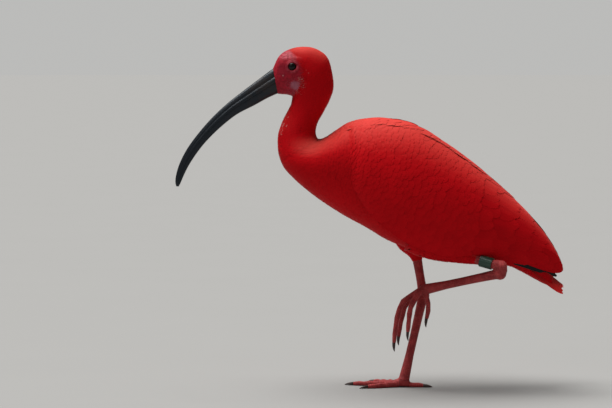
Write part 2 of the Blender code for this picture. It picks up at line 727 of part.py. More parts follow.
def hanging_toe(kind):
    path = HANGING_TOES[kind]
    radii = HALLUX_RADII if kind == "hind" else TOE_RADII
    points = smooth_path(path, 24)
    lengths = [0.0]
    for a, b in zip(points, points[1:]):
        lengths.append(lengths[-1] + (Vector(b) - Vector(a)).length)
    whole = lengths[-1] - CLAW_LENGTH
    rows = [(*TOE_JOINTS["left"], 4.4)]
    for i, radius in enumerate(radii):
        at = whole * i / (len(radii) - 1)
        k = max(n for n in range(len(lengths)) if lengths[n] <= at + 1e-6)
        k = min(k, len(points) - 2)
        share = (at - lengths[k]) / (lengths[k + 1] - lengths[k])
        rows.append((*Vector(points[k]).lerp(Vector(points[k + 1]), share), radius))
    return rows, (Vector(rows[-1][:3]) - Vector(rows[-2][:3])).normalized()


def make_foot(word):
    joint, hock = Vector(TOE_JOINTS[word]), Vector(HOCKS[word])
    up = (hock - joint).normalized()
    start = joint + up * (6.5 + GAP / 2)
    foot = limb(f"{word}_foot", [(*start, 5.5), (*joint.lerp(start, 0.5), 5.6), (*joint, 5.0)], sides=12)
    toes, claws = [], []
    for kind in ("inner", "middle", "outer", "hind"):
        rows, ahead = standing_toe(kind) if word == "right" else hanging_toe(kind)
        toes.append(limb(kind, rows, sides=8))
        tip = Vector(rows[-1][:3]) + ahead * GAP
        bend = Vector((0, 0, -1)) if word == "right" else Vector((1, 0, 0))
        radius = min(rows[-1][3], CLAW_RADIUS)
        claw = [
            (*tip, radius),
            (*(tip + ahead * CLAW_LENGTH * 0.35 + bend * 0.0), radius * 0.86),
            (*(tip + ahead * CLAW_LENGTH * 0.7 + bend * 0.45), radius * 0.55),
            (*(tip + ahead * CLAW_LENGTH * 0.97 + bend * 1.2), 0.3),
        ]
        claws.append((kind, claw))
    toes.append(ball("pad", joint, PAD_RADII[word], 12, 8))
    boolean(foot, toes, "UNION")
    if word == "right":
        bpy.ops.mesh.primitive_cube_add(size=0.4, location=(0, 0, -0.2))
        boolean(foot, [bpy.context.object], "DIFFERENCE")
    settle(foot, leg_skin)
    for kind, path in claws:
        settle(limb(f"{word}_{kind}_claw", path, sides=8), dark_horn)


def make_band():
    """A closed ring round the left shin, with the gap inside it."""
    path = shin_path("left")
    start, end = Vector(path[0][:3]), Vector(path[-1][:3])
    ahead = (end - start).normalized()
    centre = start.lerp(end, BAND_PLACE)
    hole = max(row[3] for row in path[1:-1]) + GAP

    def rod(name, radius, length):
        a, b = centre - ahead * length / 2, centre + ahead * length / 2
        return limb(name, [(*a, radius), (*b, radius)], sides=20)

    band = rod("leg_band", hole + BAND_WALL, BAND_LENGTH)
    boolean(band, [rod("hole", hole, BAND_LENGTH + 4)], "DIFFERENCE")
    settle(band, green_plastic)


def clear_scene():
    for thing in list(bpy.data.objects):
        bpy.data.objects.remove(thing)


clear_scene()
random.seed(SEED)
model = bpy.data.collections.new("scarlet_ibis")
bpy.context.scene.collection.children.link(model)
bird = bpy.data.objects.new("bird", None)
model.objects.link(bird)

scarlet_feather = finish_name("scarlet_feather", (0.62, 0.012, 0.01), 0.55)
black_feather = finish_name("black_feather", (0.012, 0.01, 0.01), 0.5)
red_skin = finish_name("red_skin", (0.60, 0.03, 0.035), 0.5)
leg_skin = finish_name("leg_skin", (0.33, 0.04, 0.05), 0.5)
dark_horn = finish_name("dark_horn", (0.03, 0.028, 0.03), 0.35)
green_plastic = finish_name("green_plastic", (0.01, 0.09, 0.035), 0.35)
dark_eye = finish_name("dark_eye", (0.01, 0.008, 0.008), 0.1)

body_solid = body_length("torso", NECK_END, BODY_END, 18, TORSO_SIDES)
body_surface = BVHTree.FromObject(body_solid, bpy.context.evaluated_depsgraph_get())
settle(body_solid, scarlet_feather)
make_head()
settle(body_length("neck", HEAD_END, NECK_END, 10, NECK_SIDES), scarlet_feather)
make_bill()
make_wings()
make_tail()
for leg in ("left", "right"):
    make_leg(leg)
    make_foot(leg)
make_band()
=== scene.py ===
"""The looks of the scarlet ibis: skin, feathers, bill, eyes, legs and leg band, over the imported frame."""

import math

import bmesh
import bpy
import numpy as np
from mathutils import Matrix, Vector
from mathutils.bvhtree import BVHTree


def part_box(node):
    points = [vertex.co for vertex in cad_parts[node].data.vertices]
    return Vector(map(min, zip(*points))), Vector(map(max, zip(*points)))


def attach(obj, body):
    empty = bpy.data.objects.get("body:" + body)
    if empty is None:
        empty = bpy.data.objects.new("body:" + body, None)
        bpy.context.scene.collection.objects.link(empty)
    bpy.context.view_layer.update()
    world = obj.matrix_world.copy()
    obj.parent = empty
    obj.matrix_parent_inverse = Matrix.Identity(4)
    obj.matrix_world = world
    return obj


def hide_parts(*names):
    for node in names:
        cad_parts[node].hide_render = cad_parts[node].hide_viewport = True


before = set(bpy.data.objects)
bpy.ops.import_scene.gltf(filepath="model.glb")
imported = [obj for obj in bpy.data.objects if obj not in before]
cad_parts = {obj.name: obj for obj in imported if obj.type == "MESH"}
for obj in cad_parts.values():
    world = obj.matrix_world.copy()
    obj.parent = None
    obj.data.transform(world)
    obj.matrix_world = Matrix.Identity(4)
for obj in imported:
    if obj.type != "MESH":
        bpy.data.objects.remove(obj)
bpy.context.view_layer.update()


# Studio.
# A pale floor under a broad, even light from overhead, with a weaker lamp in front. The long lens
# stands level with the bird's left side and looks very slightly down, at the middle of the picture.
MM = 0.001
LENS, SENSOR, DISTANCE = 142.8, 36.0, 2.5
AIM = Vector((-101.0, 0.0, 189.3)) * MM
LOOK_DOWN = math.radians(3.5)
FLOOR_RADIUS = 40.0
FLOOR_HEIGHT = -0.2 * MM  # where the sole is lowest


class Value:
    """One output of a material's nodes. Sums and products of values add Math nodes."""

    def __init__(self, finish, socket):
        self.finish = finish
        self.socket = socket

    def calculate(self, operation, *others):
        return self.finish.node("ShaderNodeMath", {"operation": operation}, dict(enumerate((self, *others))))

    def __add__(self, other):
        return self.calculate("ADD", other)

    __radd__ = __add__

    def __mul__(self, other):
        return self.calculate("MULTIPLY", other)

    __rmul__ = __mul__

    def __sub__(self, other):
        return self.calculate("SUBTRACT", other)

    def __rsub__(self, other):
        return self * -1 + other

    def __truediv__(self, other):
        return self.calculate("DIVIDE", other)

    def __pow__(self, other):
        return self.calculate("POWER", other)

    def clamped(self):
        return self.finish.node("ShaderNodeClamp", {}, {"Value": self})

    def step(self, low, high):
        """0 below low and 1 above high, with a soft change between them."""
        inputs = {"Value": self, "From Min": low, "From Max": high}
        return self.finish.node("ShaderNodeMapRange", {"interpolation_type": "SMOOTHSTEP"}, inputs)


class Finish:
    """A material around one Principled shader, whose uniform settings are given by socket name."""

    def __init__(self, name, **settings):
        self.material = bpy.data.materials.new(name)
        self.material.use_nodes = True
        self.tree = self.material.node_tree
        self.shader = self.tree.nodes["Principled BSDF"]
        for socket, value in settings.items():
            self.shader.inputs[socket.replace("_", " ")].default_value = value
        self.places = None

    def node(self, kind, settings, inputs, output=0):
        made = self.tree.nodes.new(kind)
        for name, value in settings.items():
            setattr(made, name, value)
        for name, value in inputs.items():
            self.fill(made.inputs[name], value)
        return Value(self, made.outputs[output])

    def fill(self, socket, value):
        if isinstance(value, Value):
            self.tree.links.new(value.socket, socket)
        elif value is not None:
            socket.default_value = value

    def feed(self, **values):
        for name, value in values.items():
            self.fill(self.shader.inputs[name.replace("_", " ")], value)

    def mix(self, share, first, second):
        """A colour between two colours."""
        colours = [(*c, 1.0) if isinstance(c, tuple) else c for c in (first, second)]
        settings = {"data_type": "RGBA"}
        return self.node("ShaderNodeMix", settings, {0: share, 6: colours[0], 7: colours[1]}, 2)

    def place(self):
        """Where a point lies on the object, in metres."""
        if self.places is None:
            self.places = self.node("ShaderNodeTexCoord", {}, {}, "Object")
        return self.places

    def axes(self, vector):
        parts = self.node("ShaderNodeSeparateXYZ", {}, {0: vector})
        return [Value(self, output) for output in parts.socket.node.outputs]

    def number(self, name):
        """A number that the piece's mesh carries at each point."""
        return self.node("ShaderNodeAttribute", {"attribute_name": name}, {}, "Fac")

    def noise(self, scale, detail=3.0, vector=None):
        inputs = {"Vector": vector or self.place(), "Scale": scale, "Detail": detail, "Roughness": 0.55}
        return self.node("ShaderNodeTexNoise", {}, inputs)

    def bump(self, height, distance, strength):
        """The normal of a relief, whose full height is the distance, in metres."""
        return self.node("ShaderNodeBump", {}, {"Height": height, "Distance": distance, "Strength": strength})


def new_object(name, mesh):
    made = bpy.data.objects.new(name, mesh)
    bpy.context.scene.collection.objects.link(made)
    return made


def mesh_of(work, name):
    """The mesh of a finished bmesh, which is freed."""
    mesh = bpy.data.meshes.new(name)
    work.to_mesh(mesh)
    work.free()
    return mesh


camera_data = bpy.data.cameras.new("camera")
camera_data.lens = LENS
camera_data.sensor_width = SENSOR
camera_data.clip_end = 100
camera = new_object("camera", camera_data)
camera.location = AIM + Vector((0, -math.cos(LOOK_DOWN), math.sin(LOOK_DOWN))) * DISTANCE
camera.rotation_euler = (math.pi / 2 - LOOK_DOWN, 0, 0)
bpy.context.scene.camera = camera
bpy.context.scene.view_settings.view_transform = "Standard"

floor_work = bmesh.new()
bmesh.ops.create_circle(floor_work, cap_ends=True, segments=128, radius=FLOOR_RADIUS)
bmesh.ops.translate(floor_work, verts=floor_work.verts, vec=(0, 0, FLOOR_HEIGHT))
floor_mesh = mesh_of(floor_work, "floor")
floor = new_object("floor", floor_mesh)
floor_finish = Finish("floor", Roughness=0.85)
floor_grain = floor_finish.noise(6.0)
floor_finish.feed(Base_Color=floor_finish.mix(floor_grain, (0.273, 0.273, 0.270), (0.281, 0.281, 0.278)))
floor_mesh.materials.append(floor_finish.material)


def turned_to(place, aim):
    return (Vector(aim) - Vector(place)).to_track_quat("-Z", "Y").to_euler()


overhead_data = bpy.data.lights.new("overhead", "SUN")
overhead_data.energy, overhead_data.angle, overhead_data.color = 5.2, math.radians(50), (1.0, 0.985, 0.96)
overhead = new_object("overhead", overhead_data)
overhead.rotation_euler = turned_to((-0.30, 0.12, 1.0), (0, 0, 0))

lamp_data = bpy.data.lights.new("front_lamp", "AREA")
lamp_data.shape, lamp_data.size, lamp_data.size_y = "RECTANGLE", 0.5, 0.5
lamp_data.energy, lamp_data.color = 3.0, (1.0, 0.97, 0.94)
lamp = new_object("front_lamp", lamp_data)
lamp.location = (-1.5, -1.9, 1.3)
lamp.rotation_euler = turned_to(lamp.location, (-0.05, 0, 0.25))

world = bpy.data.worlds.new("studio")
bpy.context.scene.world = world
world.use_nodes = True
world_nodes = world.node_tree.nodes
backdrop = world_nodes["Background"]
backdrop.inputs["Color"].default_value = (0.50, 0.50, 0.49, 1)
seen = world_nodes.new("ShaderNodeLightPath")
strength = world_nodes.new("ShaderNodeMapRange")
strength.inputs["To Min"].default_value = 0.32
strength.inputs["To Max"].default_value = 1.0
world.node_tree.links.new(seen.outputs["Is Camera Ray"], strength.inputs["Value"])
world.node_tree.links.new(strength.outputs["Result"], backdrop.inputs["Strength"])


# Skin.
# The bird's own skin, from the base of the bill to the tail, with the thighs and the arms of the
# folded wings grown into it. It is bare only on the face; everywhere else feathers cover it.

# Sections in mm: crest x and z, keel x and z, half width.
BODY = np.array([
    (-134.9, 328.8, -129.8, 302.6, 8.6),  # face at the bill
    (-128.8, 341.2, -125.7, 302.1, 12.0),
    (-119.5, 347.9, -120.1, 301.6, 15.0),
    (-106.1, 351.0, -115.4, 299.7, 17.0),  # crown
    (-91.7, 349.4, -115.5, 295.7, 17.5),
    (-79.3, 340.7, -116.4, 291.3, 17.5),
    (-74.2, 325.2, -118.5, 287.1, 16.5),
    (-72.6, 309.8, -121.0, 282.5, 15.5),  # nape
    (-76.2, 297.5, -124.1, 276.9, 15.0),
    (-82.4, 285.1, -127.2, 269.7, 15.5),
    (-88.6, 273.8, -129.8, 261.4, 16.5),
    (-90.7, 264.7, -130.5, 252.1, 18.0),
    (-89.6, 258.8, -129.5, 240.8, 21.5),  # foot of the neck
    (-86.6, 256.2, -124.7, 227.4, 27.0),
    (-79.3, 258.8, -114.4, 215.6, 33.0),
    (-68.0, 266.5, -101.0, 203.8, 38.5),
    (-55.6, 274.3, -84.5, 191.4, 42.5),  # shoulders
    (-39.2, 278.1, -61.8, 177.0, 44.5),
    (-18.6, 278.6, -39.2, 164.7, 45.5),
    (6.2, 271.9, -16.5, 151.3, 45.5),
    (31.9, 256.3, 8.2, 141.9, 43.0),
    (57.7, 233.7, 32.9, 135.7, 37.5),
    (83.4, 209.1, 59.7, 132.2, 30.0),
    (107.1, 184.4, 85.5, 128.7, 22.0),
    (123.6, 158.6, 107.1, 124.9, 13.0),  # end of the rump
    (131.4, 145.7, 118.4, 120.2, 13.5),
    (140.4, 133.7, 129.4, 114.4, 14.0),
    (148.4, 124.2, 139.7, 108.8, 14.5),
    (154.4, 116.7, 148.9, 104.5, 14.0),  # root of the tail
])
LAST = len(BODY) - 1
# How deep the skin lies under the ends of the feathers, in mm, by section number.
COAT_DEPTH = ((0, 2.0, 4, 7, 12, 16, 24, LAST), (0.1, 0.2, 0.7, 1.0, 1.5, 1.9, 1.8, 1.4))


def along_rows(rows, t):
    """Smooth curves through the rows of a table, read at the fractional row numbers t."""
    rows, t = np.asarray(rows, float), np.asarray(t, float)
    i = np.clip(t.astype(int), 0, len(rows) - 2)
    f = (t - i)[..., None]
    ends = np.vstack([2 * rows[0] - rows[1], rows, 2 * rows[-1] - rows[-2]])
    a, b, c, d = (ends[i + k] for k in range(4))
    return 0.5 * (2 * b + (c - a) * f + (2 * a - 5 * b + 4 * c - d) * f**2 + (3 * b - a - 3 * c + d) * f**3)


def unit(vectors):
    return vectors / np.maximum(np.linalg.norm(vectors, axis=-1, keepdims=True), 1e-12)


def dot(a, b):
    return (a * b).sum(-1)


def blend(low, high, x):
    s = np.clip((x - low) / (high - low), 0, 1)
    return s * s * (3 - 2 * s)


class Sheet:
    """A curved surface held as a grid of points in metres, where u and v run from 0 to 1."""

    FURTHEST_U, FURTHEST_V = 0.12, 0.2  # the most that one short step may cross of it

    def __init__(self, points, ring=False, outward=1):
        self.points, self.ring = points, ring
        along_u = np.gradient(points, axis=0) * (points.shape[0] - 1)
        along_v = np.gradient(points, axis=1) * (points.shape[1] - 1)
        if ring:
            along_v[:, 0] = along_v[:, -1] = (points[:, 1] - points[:, -2]) / 2 * (points.shape[1] - 1)
        self.along_u, self.along_v = along_u, along_v
        self.normals = unit(np.cross(along_u, along_v)) * outward

    def read(self, grid, u, v):
        """The grid's value at u and v, carried on in a straight line beyond an open edge."""
        x = u * (grid.shape[0] - 1)
        y = (v % 1.0 if self.ring else v) * (grid.shape[1] - 1)
        i = np.clip(np.floor(x).astype(int), 0, grid.shape[0] - 2)
        j = np.clip(np.floor(y).astype(int), 0, grid.shape[1] - 2)
        f, g = (x - i)[..., None], (y - j)[..., None]
        return (grid[i, j] * (1 - f) + grid[i + 1, j] * f) * (1 - g) + (
            grid[i, j + 1] * (1 - f) + grid[i + 1, j + 1] * f
        ) * g

    def slide(self, u, v, step):
        """The u and v reached by a short step given in metres."""
        a, b = self.read(self.along_u, u, v), self.read(self.along_v, u, v)
        e, f, g = dot(a, a), dot(a, b), dot(b, b)
        p, q = dot(step, a), dot(step, b)
        whole = np.maximum(e * g - f * f, 1e-12)
        du, dv = (g * p - f * q) / whole, (e * q - f * p) / whole
        du = np.clip(du, -self.FURTHEST_U, self.FURTHEST_U)
        return u + du, v + np.clip(dv, -self.FURTHEST_V, self.FURTHEST_V)

    def facing(self, u, v):
        """The outward direction, and square to it the direction in which u grows."""
        normal = unit(self.read(self.normals, u, v))
        ahead = unit(self.read(self.along_u, u, v))
        return normal, unit(ahead - normal * dot(ahead, normal)[:, None])


def body_points(t, turn, inset):
    """Points round the body: turn 0 is the crest, a quarter is the right side and a half the keel."""
    rows = along_rows(BODY, t)
    crest = np.stack([rows[..., 0], 0 * rows[..., 0], rows[..., 1]], -1)
    keel = np.stack([rows[..., 2], 0 * rows[..., 2], rows[..., 3]], -1)
    tall = np.linalg.norm(crest - keel, axis=-1)
    up = (crest - keel) / tall[..., None]
    angle = 2 * np.pi * turn
    inset = inset * np.interp(t, *COAT_DEPTH)
    out = (tall / 2 - inset) * np.cos(angle)
    across = (rows[..., 4] - inset) * np.sin(angle)
    return ((crest + keel) / 2 + up * out[..., None] + np.stack([0 * across, across, 0 * across], -1)) * MM


def body_grid(steps, sides, inset):
    t, turn = np.meshgrid(np.linspace(0, LAST, steps + 1), np.linspace(0, 1, sides + 1), indexing="ij")
    return body_points(t, turn, inset)


def loft(name, rings):
    """A ring of vertices extruded through rings of points, and closed at both ends."""
    work = bmesh.new()
    order = work.verts.layers.int.new("order")
    bmesh.ops.create_circle(work, cap_ends=False, segments=len(rings[0]), radius=1)
    for k, vert in enumerate(work.verts):
        vert[order] = k
        vert.co = rings[0][k]
    edges = work.edges[:]
    ends = list(edges)
    for ring in rings[1:]:
        made = bmesh.ops.extrude_edge_only(work, edges=edges)["geom"]
        for vert in made:
            if isinstance(vert, bmesh.types.BMVert):
                vert.co = ring[vert[order]]
        edges = [e for e in made if isinstance(e, bmesh.types.BMEdge) and e.is_boundary]
        new = set(made)
        edges = [e for e in edges if e.verts[0][order] != e.verts[1][order] and new.issuperset(e.verts)]
    bmesh.ops.holes_fill(work, edges=ends + edges, sides=0)
    bmesh.ops.recalc_face_normals(work, faces=work.faces)
    mesh = mesh_of(work, name)
    mesh.attributes.remove(mesh.attributes["order"])
    return new_object(name, mesh)


# The folded wing's sections in mm: top x and z, lower edge x and z, then y of the top edge, y of
# the lower edge and the half width of the bird there, from the bend of the wing to its tip.
WING = np.array([
    (-59.6, 265.6, -54.6, 212.1, 22.0, 42.0, 43.0),
    (-43.3, 274.8, -43.3, 193.4, 20.0, 44.0, 50.5),
    (-19.6, 276.8, -24.7, 172.8, 17.0, 45.0, 54.0),
    (8.2, 271.7, 1.0, 154.3, 14.0, 43.0, 54.5),
    (37.1, 256.2, 32.9, 141.9, 10.0, 39.0, 51.5),
    (65.9, 236.1, 63.8, 135.7, 6.0, 34.0, 45.0),
    (94.7, 212.5, 93.7, 132.6, 3.0, 28.0, 36.5),
    (121.5, 187.7, 122.6, 127.9, 1.5, 21.0, 27.5),
    (143.2, 163.0, 144.2, 121.2, 1.5, 13.5, 18.0),
    (158.6, 138.8, 157.6, 115.0, 1.5, 8.5, 10.5),
    (166.8, 117.2, 164.8, 113.0, 1.2, 4.0, 4.6),
])
PRIMARY_EDGE = 1.8  # height in mm of the dark strip that shows below the red feathers
WING_CORE = -1.9  # how far the skin of the wing lies in from its feathered outline, in mm
ARM_DEPTH, HAND_DEPTH = 5.0, 1.2  # depth of the core under that skin near the bend and near the tip, in mm
WING_STEPS, WING_ACROSS = 96, 56  # cells along and across the wing's grid
BODY_GAP, FRONT_GAP = 1.3, -0.8  # how far the wing's outline stays off the body, and at its front edge, in mm
CORE_GAP = 0.9  # how much further off the core is kept than its depth would leave it, in mm
MIDDLE_GAP = 0.25  # how far each wing stays off the middle of the bird, in mm


def wing_points(u, v):
    rows = along_rows(WING, u * (len(WING) - 1))
    top_x, top_z, low_x, low_z, top_y, low_y, half = (rows[..., k] for k in range(7))
    start = np.arcsin(np.clip(top_y / half, 0, 1))
    end = np.pi - np.arcsin(np.clip(low_y / half, 0, 1))
    angle = start + (end - start) * v
    share = (np.cos(start) - np.cos(angle)) / (np.cos(start) - np.cos(end))
    y = -np.maximum(half * np.sin(angle), MIDDLE_GAP)
    return np.stack([top_x + (low_x - top_x) * share, y, top_z + (low_z - top_z) * share], -1) * MM


def red_limit(u):
    """The v at which a wing's red feathers end and the dark ones show below them."""
    height = (wing_points(u, 0 * u) - wing_points(u, 0 * u + 1))[..., 2] / MM
    return 1 + (np.maximum(0.55, 1 - PRIMARY_EDGE / height) - 1) * blend(0.58, 0.66, u)


def wing_grid(lift):
    """The left wing's outer face, lifted by some mm, kept above the body behind its front edge."""
    u, v = np.meshgrid(np.linspace(0, 1, WING_STEPS + 1), np.linspace(0, 1, WING_ACROSS + 1), indexing="ij")
    flat = Sheet(wing_points(u, v), outward=-1)
    points = flat.points + flat.normals * lift * MM
    points[..., 1] = np.minimum(points[..., 1], -MIDDLE_GAP * MM)
    for index in np.ndindex(u.shape):
        hit, normal, _, _ = body_tree.find_nearest(Vector(points[index]))
        height = (Vector(points[index]) - hit).dot(normal) / MM
        least = FRONT_GAP + (BODY_GAP - FRONT_GAP) * blend(0.0, 0.05, u[index]) + lift + CORE_GAP
        if height < least:
            points[index] += np.array(normal) * (least - height) * MM
    return points


def carry_out(made):
    """Makes the work of an object's modifiers its own mesh."""
    graph = bpy.context.evaluated_depsgraph_get()
    mesh = bpy.data.meshes.new_from_object(made.evaluated_get(graph))
    made.modifiers.clear()
    made.data = mesh


def join(made, others):
    """Unites closed solids into one."""
    group = bpy.data.collections.new("joined")
    bpy.context.scene.collection.children.link(group)
    for other in others:
        bpy.context.scene.collection.objects.unlink(other)
        group.objects.link(other)
    modifier = made.modifiers.new("join", "BOOLEAN")
    modifier.operation, modifier.operand_type = "UNION", "COLLECTION"
    modifier.collection, modifier.solver = group, "MANIFOLD"
    carry_out(made)
    for other in others:
        bpy.data.objects.remove(other)
    bpy.data.collections.remove(group)


def tube_grid(path, steps, sides, inset):
    """Rings of points round a path of x, y, z and radius, all in mm."""
    rows = along_rows(path, np.linspace(0, len(path) - 1, steps + 1))
    places, radii = rows[:, :3], rows[:, 3]
    ahead = unit(np.gradient(places, axis=0))
    aside = unit(np.cross(ahead, (0, 1, 0.001)))
    above = np.cross(aside, ahead)
    turn = np.linspace(0, 2 * np.pi, sides + 1)[None, :, None]
    rings = np.cos(turn) * aside[:, None] + np.sin(turn) * above[:, None]
    return (places[:, None] + rings * (radii - inset)[:, None, None]) * MM


THIGHS = {  # x, y, z and radius along each thigh, in mm
    "left": (
        (4.4, -21, 155.7, 15.0), (31.4, -24.5, 145.7, 13.0), (56.4, -27.5, 138.7, 9.0),
        (70.4, -30.5, 135.0, 6.3),
    ),
    "right": (
        (1.4, 18, 158.2, 16.0), (7.9, 21, 147.2, 13.0), (12.4, 22.5, 138.2, 9.0), (14.6, 22.5, 130.7, 6.3),
    ),
}
THIGH_INSET = 1.5  # depth of the skin under the thigh's feathers, in mm
EYE_X, EYE_Z = -115.0, 330.6

skin = loft("skin", [ring[:-1] for ring in body_grid(190, 120, 1.0)])
outline = loft("outline", [ring[:-1] for ring in body_grid(120, 56, 0.0)])
body_tree = BVHTree.FromObject(outline, bpy.context.evaluated_depsgraph_get())
bpy.data.objects.remove(outline)
thigh_rings = [tube_grid(path, 24, 32, THIGH_INSET) for path in THIGHS.values()]
join(skin, [loft("thigh", [ring[:-1] for ring in rings]) for rings in thigh_rings])

wing_outside = wing_grid(WING_CORE)
wing_face = {"left": Sheet(wing_outside, outward=-1), "right": Sheet(wing_outside * (1, -1, 1))}


def wing_arm(word):
    """The closed, flat core that a folded wing's feathers are rooted in."""
    face = wing_face[word]
    u = np.linspace(0.0, 0.90, 60)
    limit = red_limit(u) - 0.03 - 0.25 * blend(0.75, 0.9, u)
    across = 24
    rings = []
    for k, at in enumerate(u):
        v = np.linspace(0.01, limit[k], across)
        outside = face.read(face.points, at + 0 * v, v)
        normal = unit(face.read(face.normals, at + 0 * v, v))
        depth = ARM_DEPTH + (HAND_DEPTH - ARM_DEPTH) * blend(0.3, 0.7, at)
        hollow = np.sin(np.pi * np.linspace(0, 1, across)) ** 0.5
        inside = outside - normal * depth * MM * hollow[:, None]
        rings.append(np.vstack([outside, inside[::-1][1:-1]]))
    return loft("arm", rings)


join(skin, [wing_arm("left"), wing_arm("right")])
for polygon in skin.data.polygons:
    polygon.use_smooth = True

# Folds round the eye, a hollow in the lores in front of it, and a low brow above the eye.
left_eye_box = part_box("left_eye")
eye_place = (left_eye_box[0] + left_eye_box[1]) / 2


def of_vertices(mesh, name):
    values = np.empty(len(mesh.vertices) * 3)
    mesh.vertices.foreach_get(name, values)
    return values.reshape(-1, 3)


def from_spot(points, x, z, wide, tall):
    """How many times as far as an oval's edge the points lie from its middle, all in mm."""
    return np.hypot((points[:, 0] - x * MM) / wide, (points[:, 2] - z * MM) / tall) / MM


points, normals = of_vertices(skin.data, "co"), of_vertices(skin.data, "normal")
from_eye = from_spot(points, EYE_X, EYE_Z, 1.1, 1.0)
near_head = (points[:, 2] > 0.29) & (np.abs(points[:, 1]) > 0.006)
socket = 0.9 * np.exp(-((from_eye - 5.0) / 1.3) ** 2) - 3.2 * blend(4.3, 2.6, from_eye)
push = np.where(near_head, socket, 0.0)
push += np.where(near_head, 0.8 * np.exp(-(from_spot(points, -113, 338.5, 9, 2.2) ** 2)), 0.0)  # brow
push -= np.where(near_head, 0.9 * np.exp(-(from_spot(points, -125, 328, 5, 5) ** 2)), 0.0)  # lores
points += normals * push[:, None] * MM
skin.data.vertices.foreach_set("co", points.ravel())
skin.data.update()


def bare_share(finish):
    """1 on the bare face and 0 under feathers, from a point's place on the object."""
    x, _, z = finish.axes(finish.place())
    wander = finish.noise(160.0, 2.0) - 0.5
    back = -0.1045 - ((z - 0.322) / 0.026) ** 2 * 0.013 + wander * 0.008
    return (back - x).step(-0.0030, 0.0035) * (z - 0.2955 + wander * 0.006).step(-0.002, 0.003)


skin_finish = Finish("red_skin", Subsurface_Weight=0.05, Subsurface_Scale=0.002, Specular_IOR_Level=0.14)
skin_finish.shader.inputs["Subsurface Radius"].default_value = (1.0, 0.25, 0.2)
bare = bare_share(skin_finish)
x, _, z = skin_finish.axes(skin_finish.place())
mottle = skin_finish.noise(420.0, 4.0)
broad = skin_finish.noise(110.0, 2.0)
wrinkle = skin_finish.noise(900.0, 3.0)
away_x, away_z = (x - EYE_X * MM) / MM, (z - EYE_Z * MM) / MM
ring = (away_x**2 + away_z**2) ** 0.5


def patch(at, size, ragged, edge):
    """1 inside an oval of the face and 0 outside it. Its middle x and z and its size are in metres."""
    return (((x - at[0]) / size[0]) ** 2 + ((z - at[1]) / size[1]) ** 2 + ragged).step(*edge)


# Darker lores in front of the eye, a paler brow, and a lilac cheek with strokes run back from it.
face_colour = skin_finish.mix(mottle.step(0.3, 0.75), (0.24, 0.004, 0.014), (0.40, 0.010, 0.026))
lores = patch((-0.1245, 0.3275), (0.006, 0.007), (broad - 0.5) * 1.2, (1.3, 0.2))
face_colour = skin_finish.mix(lores * 0.55, face_colour, (0.17, 0.003, 0.014))
brow_patch = patch((-0.1225, 0.3420), (0.009, 0.0045), (broad - 0.5) * 1.6, (1.3, 0.2))
face_colour = skin_finish.mix(brow_patch * mottle.step(0.3, 0.65) * 0.5, face_colour, (0.56, 0.13, 0.17))
lid_tone = ring.step(7.6, 5.2) * ring.step(4.2, 5.0)
face_colour = skin_finish.mix(lid_tone * mottle.step(0.3, 0.65) * 0.5, face_colour, (0.46, 0.10, 0.13))
cheek_x, cheek_z = (x + 0.1115) / MM, (z - 0.3112) / MM
cheek_away = (cheek_x**2 + cheek_z**2) ** 0.5
bearing = cheek_z.calculate("ARCTAN2", cheek_x)
fan_line = skin_finish.node("ShaderNodeCombineXYZ", {}, {0: bearing * 5.0, 1: cheek_away * 0.5, 2: 0.0})
strokes = skin_finish.noise(1.6, 3.0, fan_line).step(0.50, 0.68)
cheek = ((cheek_x / 6.0) ** 2 + (cheek_z / 4.6) ** 2 + (broad - 0.5) * 1.6).step(1.3, 0.2)
cheek_strokes = ((cheek_x / 12.0) ** 2 + (cheek_z / 8.5) ** 2 + (broad - 0.5) * 1.0).step(1.2, 0.3) * strokes
lilac = (cheek * (0.28 + mottle * 0.4) + cheek_strokes * 0.3).clamped()
face_colour = skin_finish.mix(lilac, face_colour, (0.40, 0.19, 0.26))
speck = patch((-0.1245, 0.3215), (0.0009, 0.0010), wrinkle - 0.5, (1.4, 0.1))
face_colour = skin_finish.mix(speck * 0.6, face_colour, (0.55, 0.22, 0.22))
under_colour = skin_finish.mix(mottle, (0.40, 0.0018, 0.0055), (0.52, 0.0022, 0.007))
throat = patch((-0.127, 0.279), (0.010, 0.020), 0.0, (1.2, 0.4))
under_colour = skin_finish.mix(throat * mottle.step(0.35, 0.6), under_colour, (0.48, 0.16, 0.17))
skin_finish.feed(Base_Color=skin_finish.mix(bare, under_colour, face_colour))
folds = ((ring * 3.6 + broad * 6).calculate("SINE") * 0.5 + 0.5) * ring.step(10.5, 5.5)
fine_cells = {"Vector": skin_finish.place(), "Scale": 1500.0}
pores = skin_finish.node("ShaderNodeTexVoronoi", {"feature": "F1"}, fine_cells)
skin_finish.feed(
    Normal=skin_finish.bump(folds * 0.7 + mottle * 0.9 + wrinkle * 0.7 + pores * 0.3, 0.00040, 0.9),
    Roughness=0.40 + mottle * 0.2,
)
skin.data.materials.clear()
skin.data.materials.append(skin_finish.material)
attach(skin, "root")
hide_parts("head", "neck", "torso", "tail", "left_wing", "right_wing", "left_thigh", "right_thigh")


# Body feathers.
# Small soft feathers cover the head behind the face, the neck, breast, back, belly and rump. Each
# is a thin closed vane with a rounded tip. Its root is in the skin and it lies backwards.
MARCH = 8  # steps in which a feather follows the surface under it
PATCH = 0.0015  # half the side of a feather's patch in the OFBake map, which runs from 0 to 1


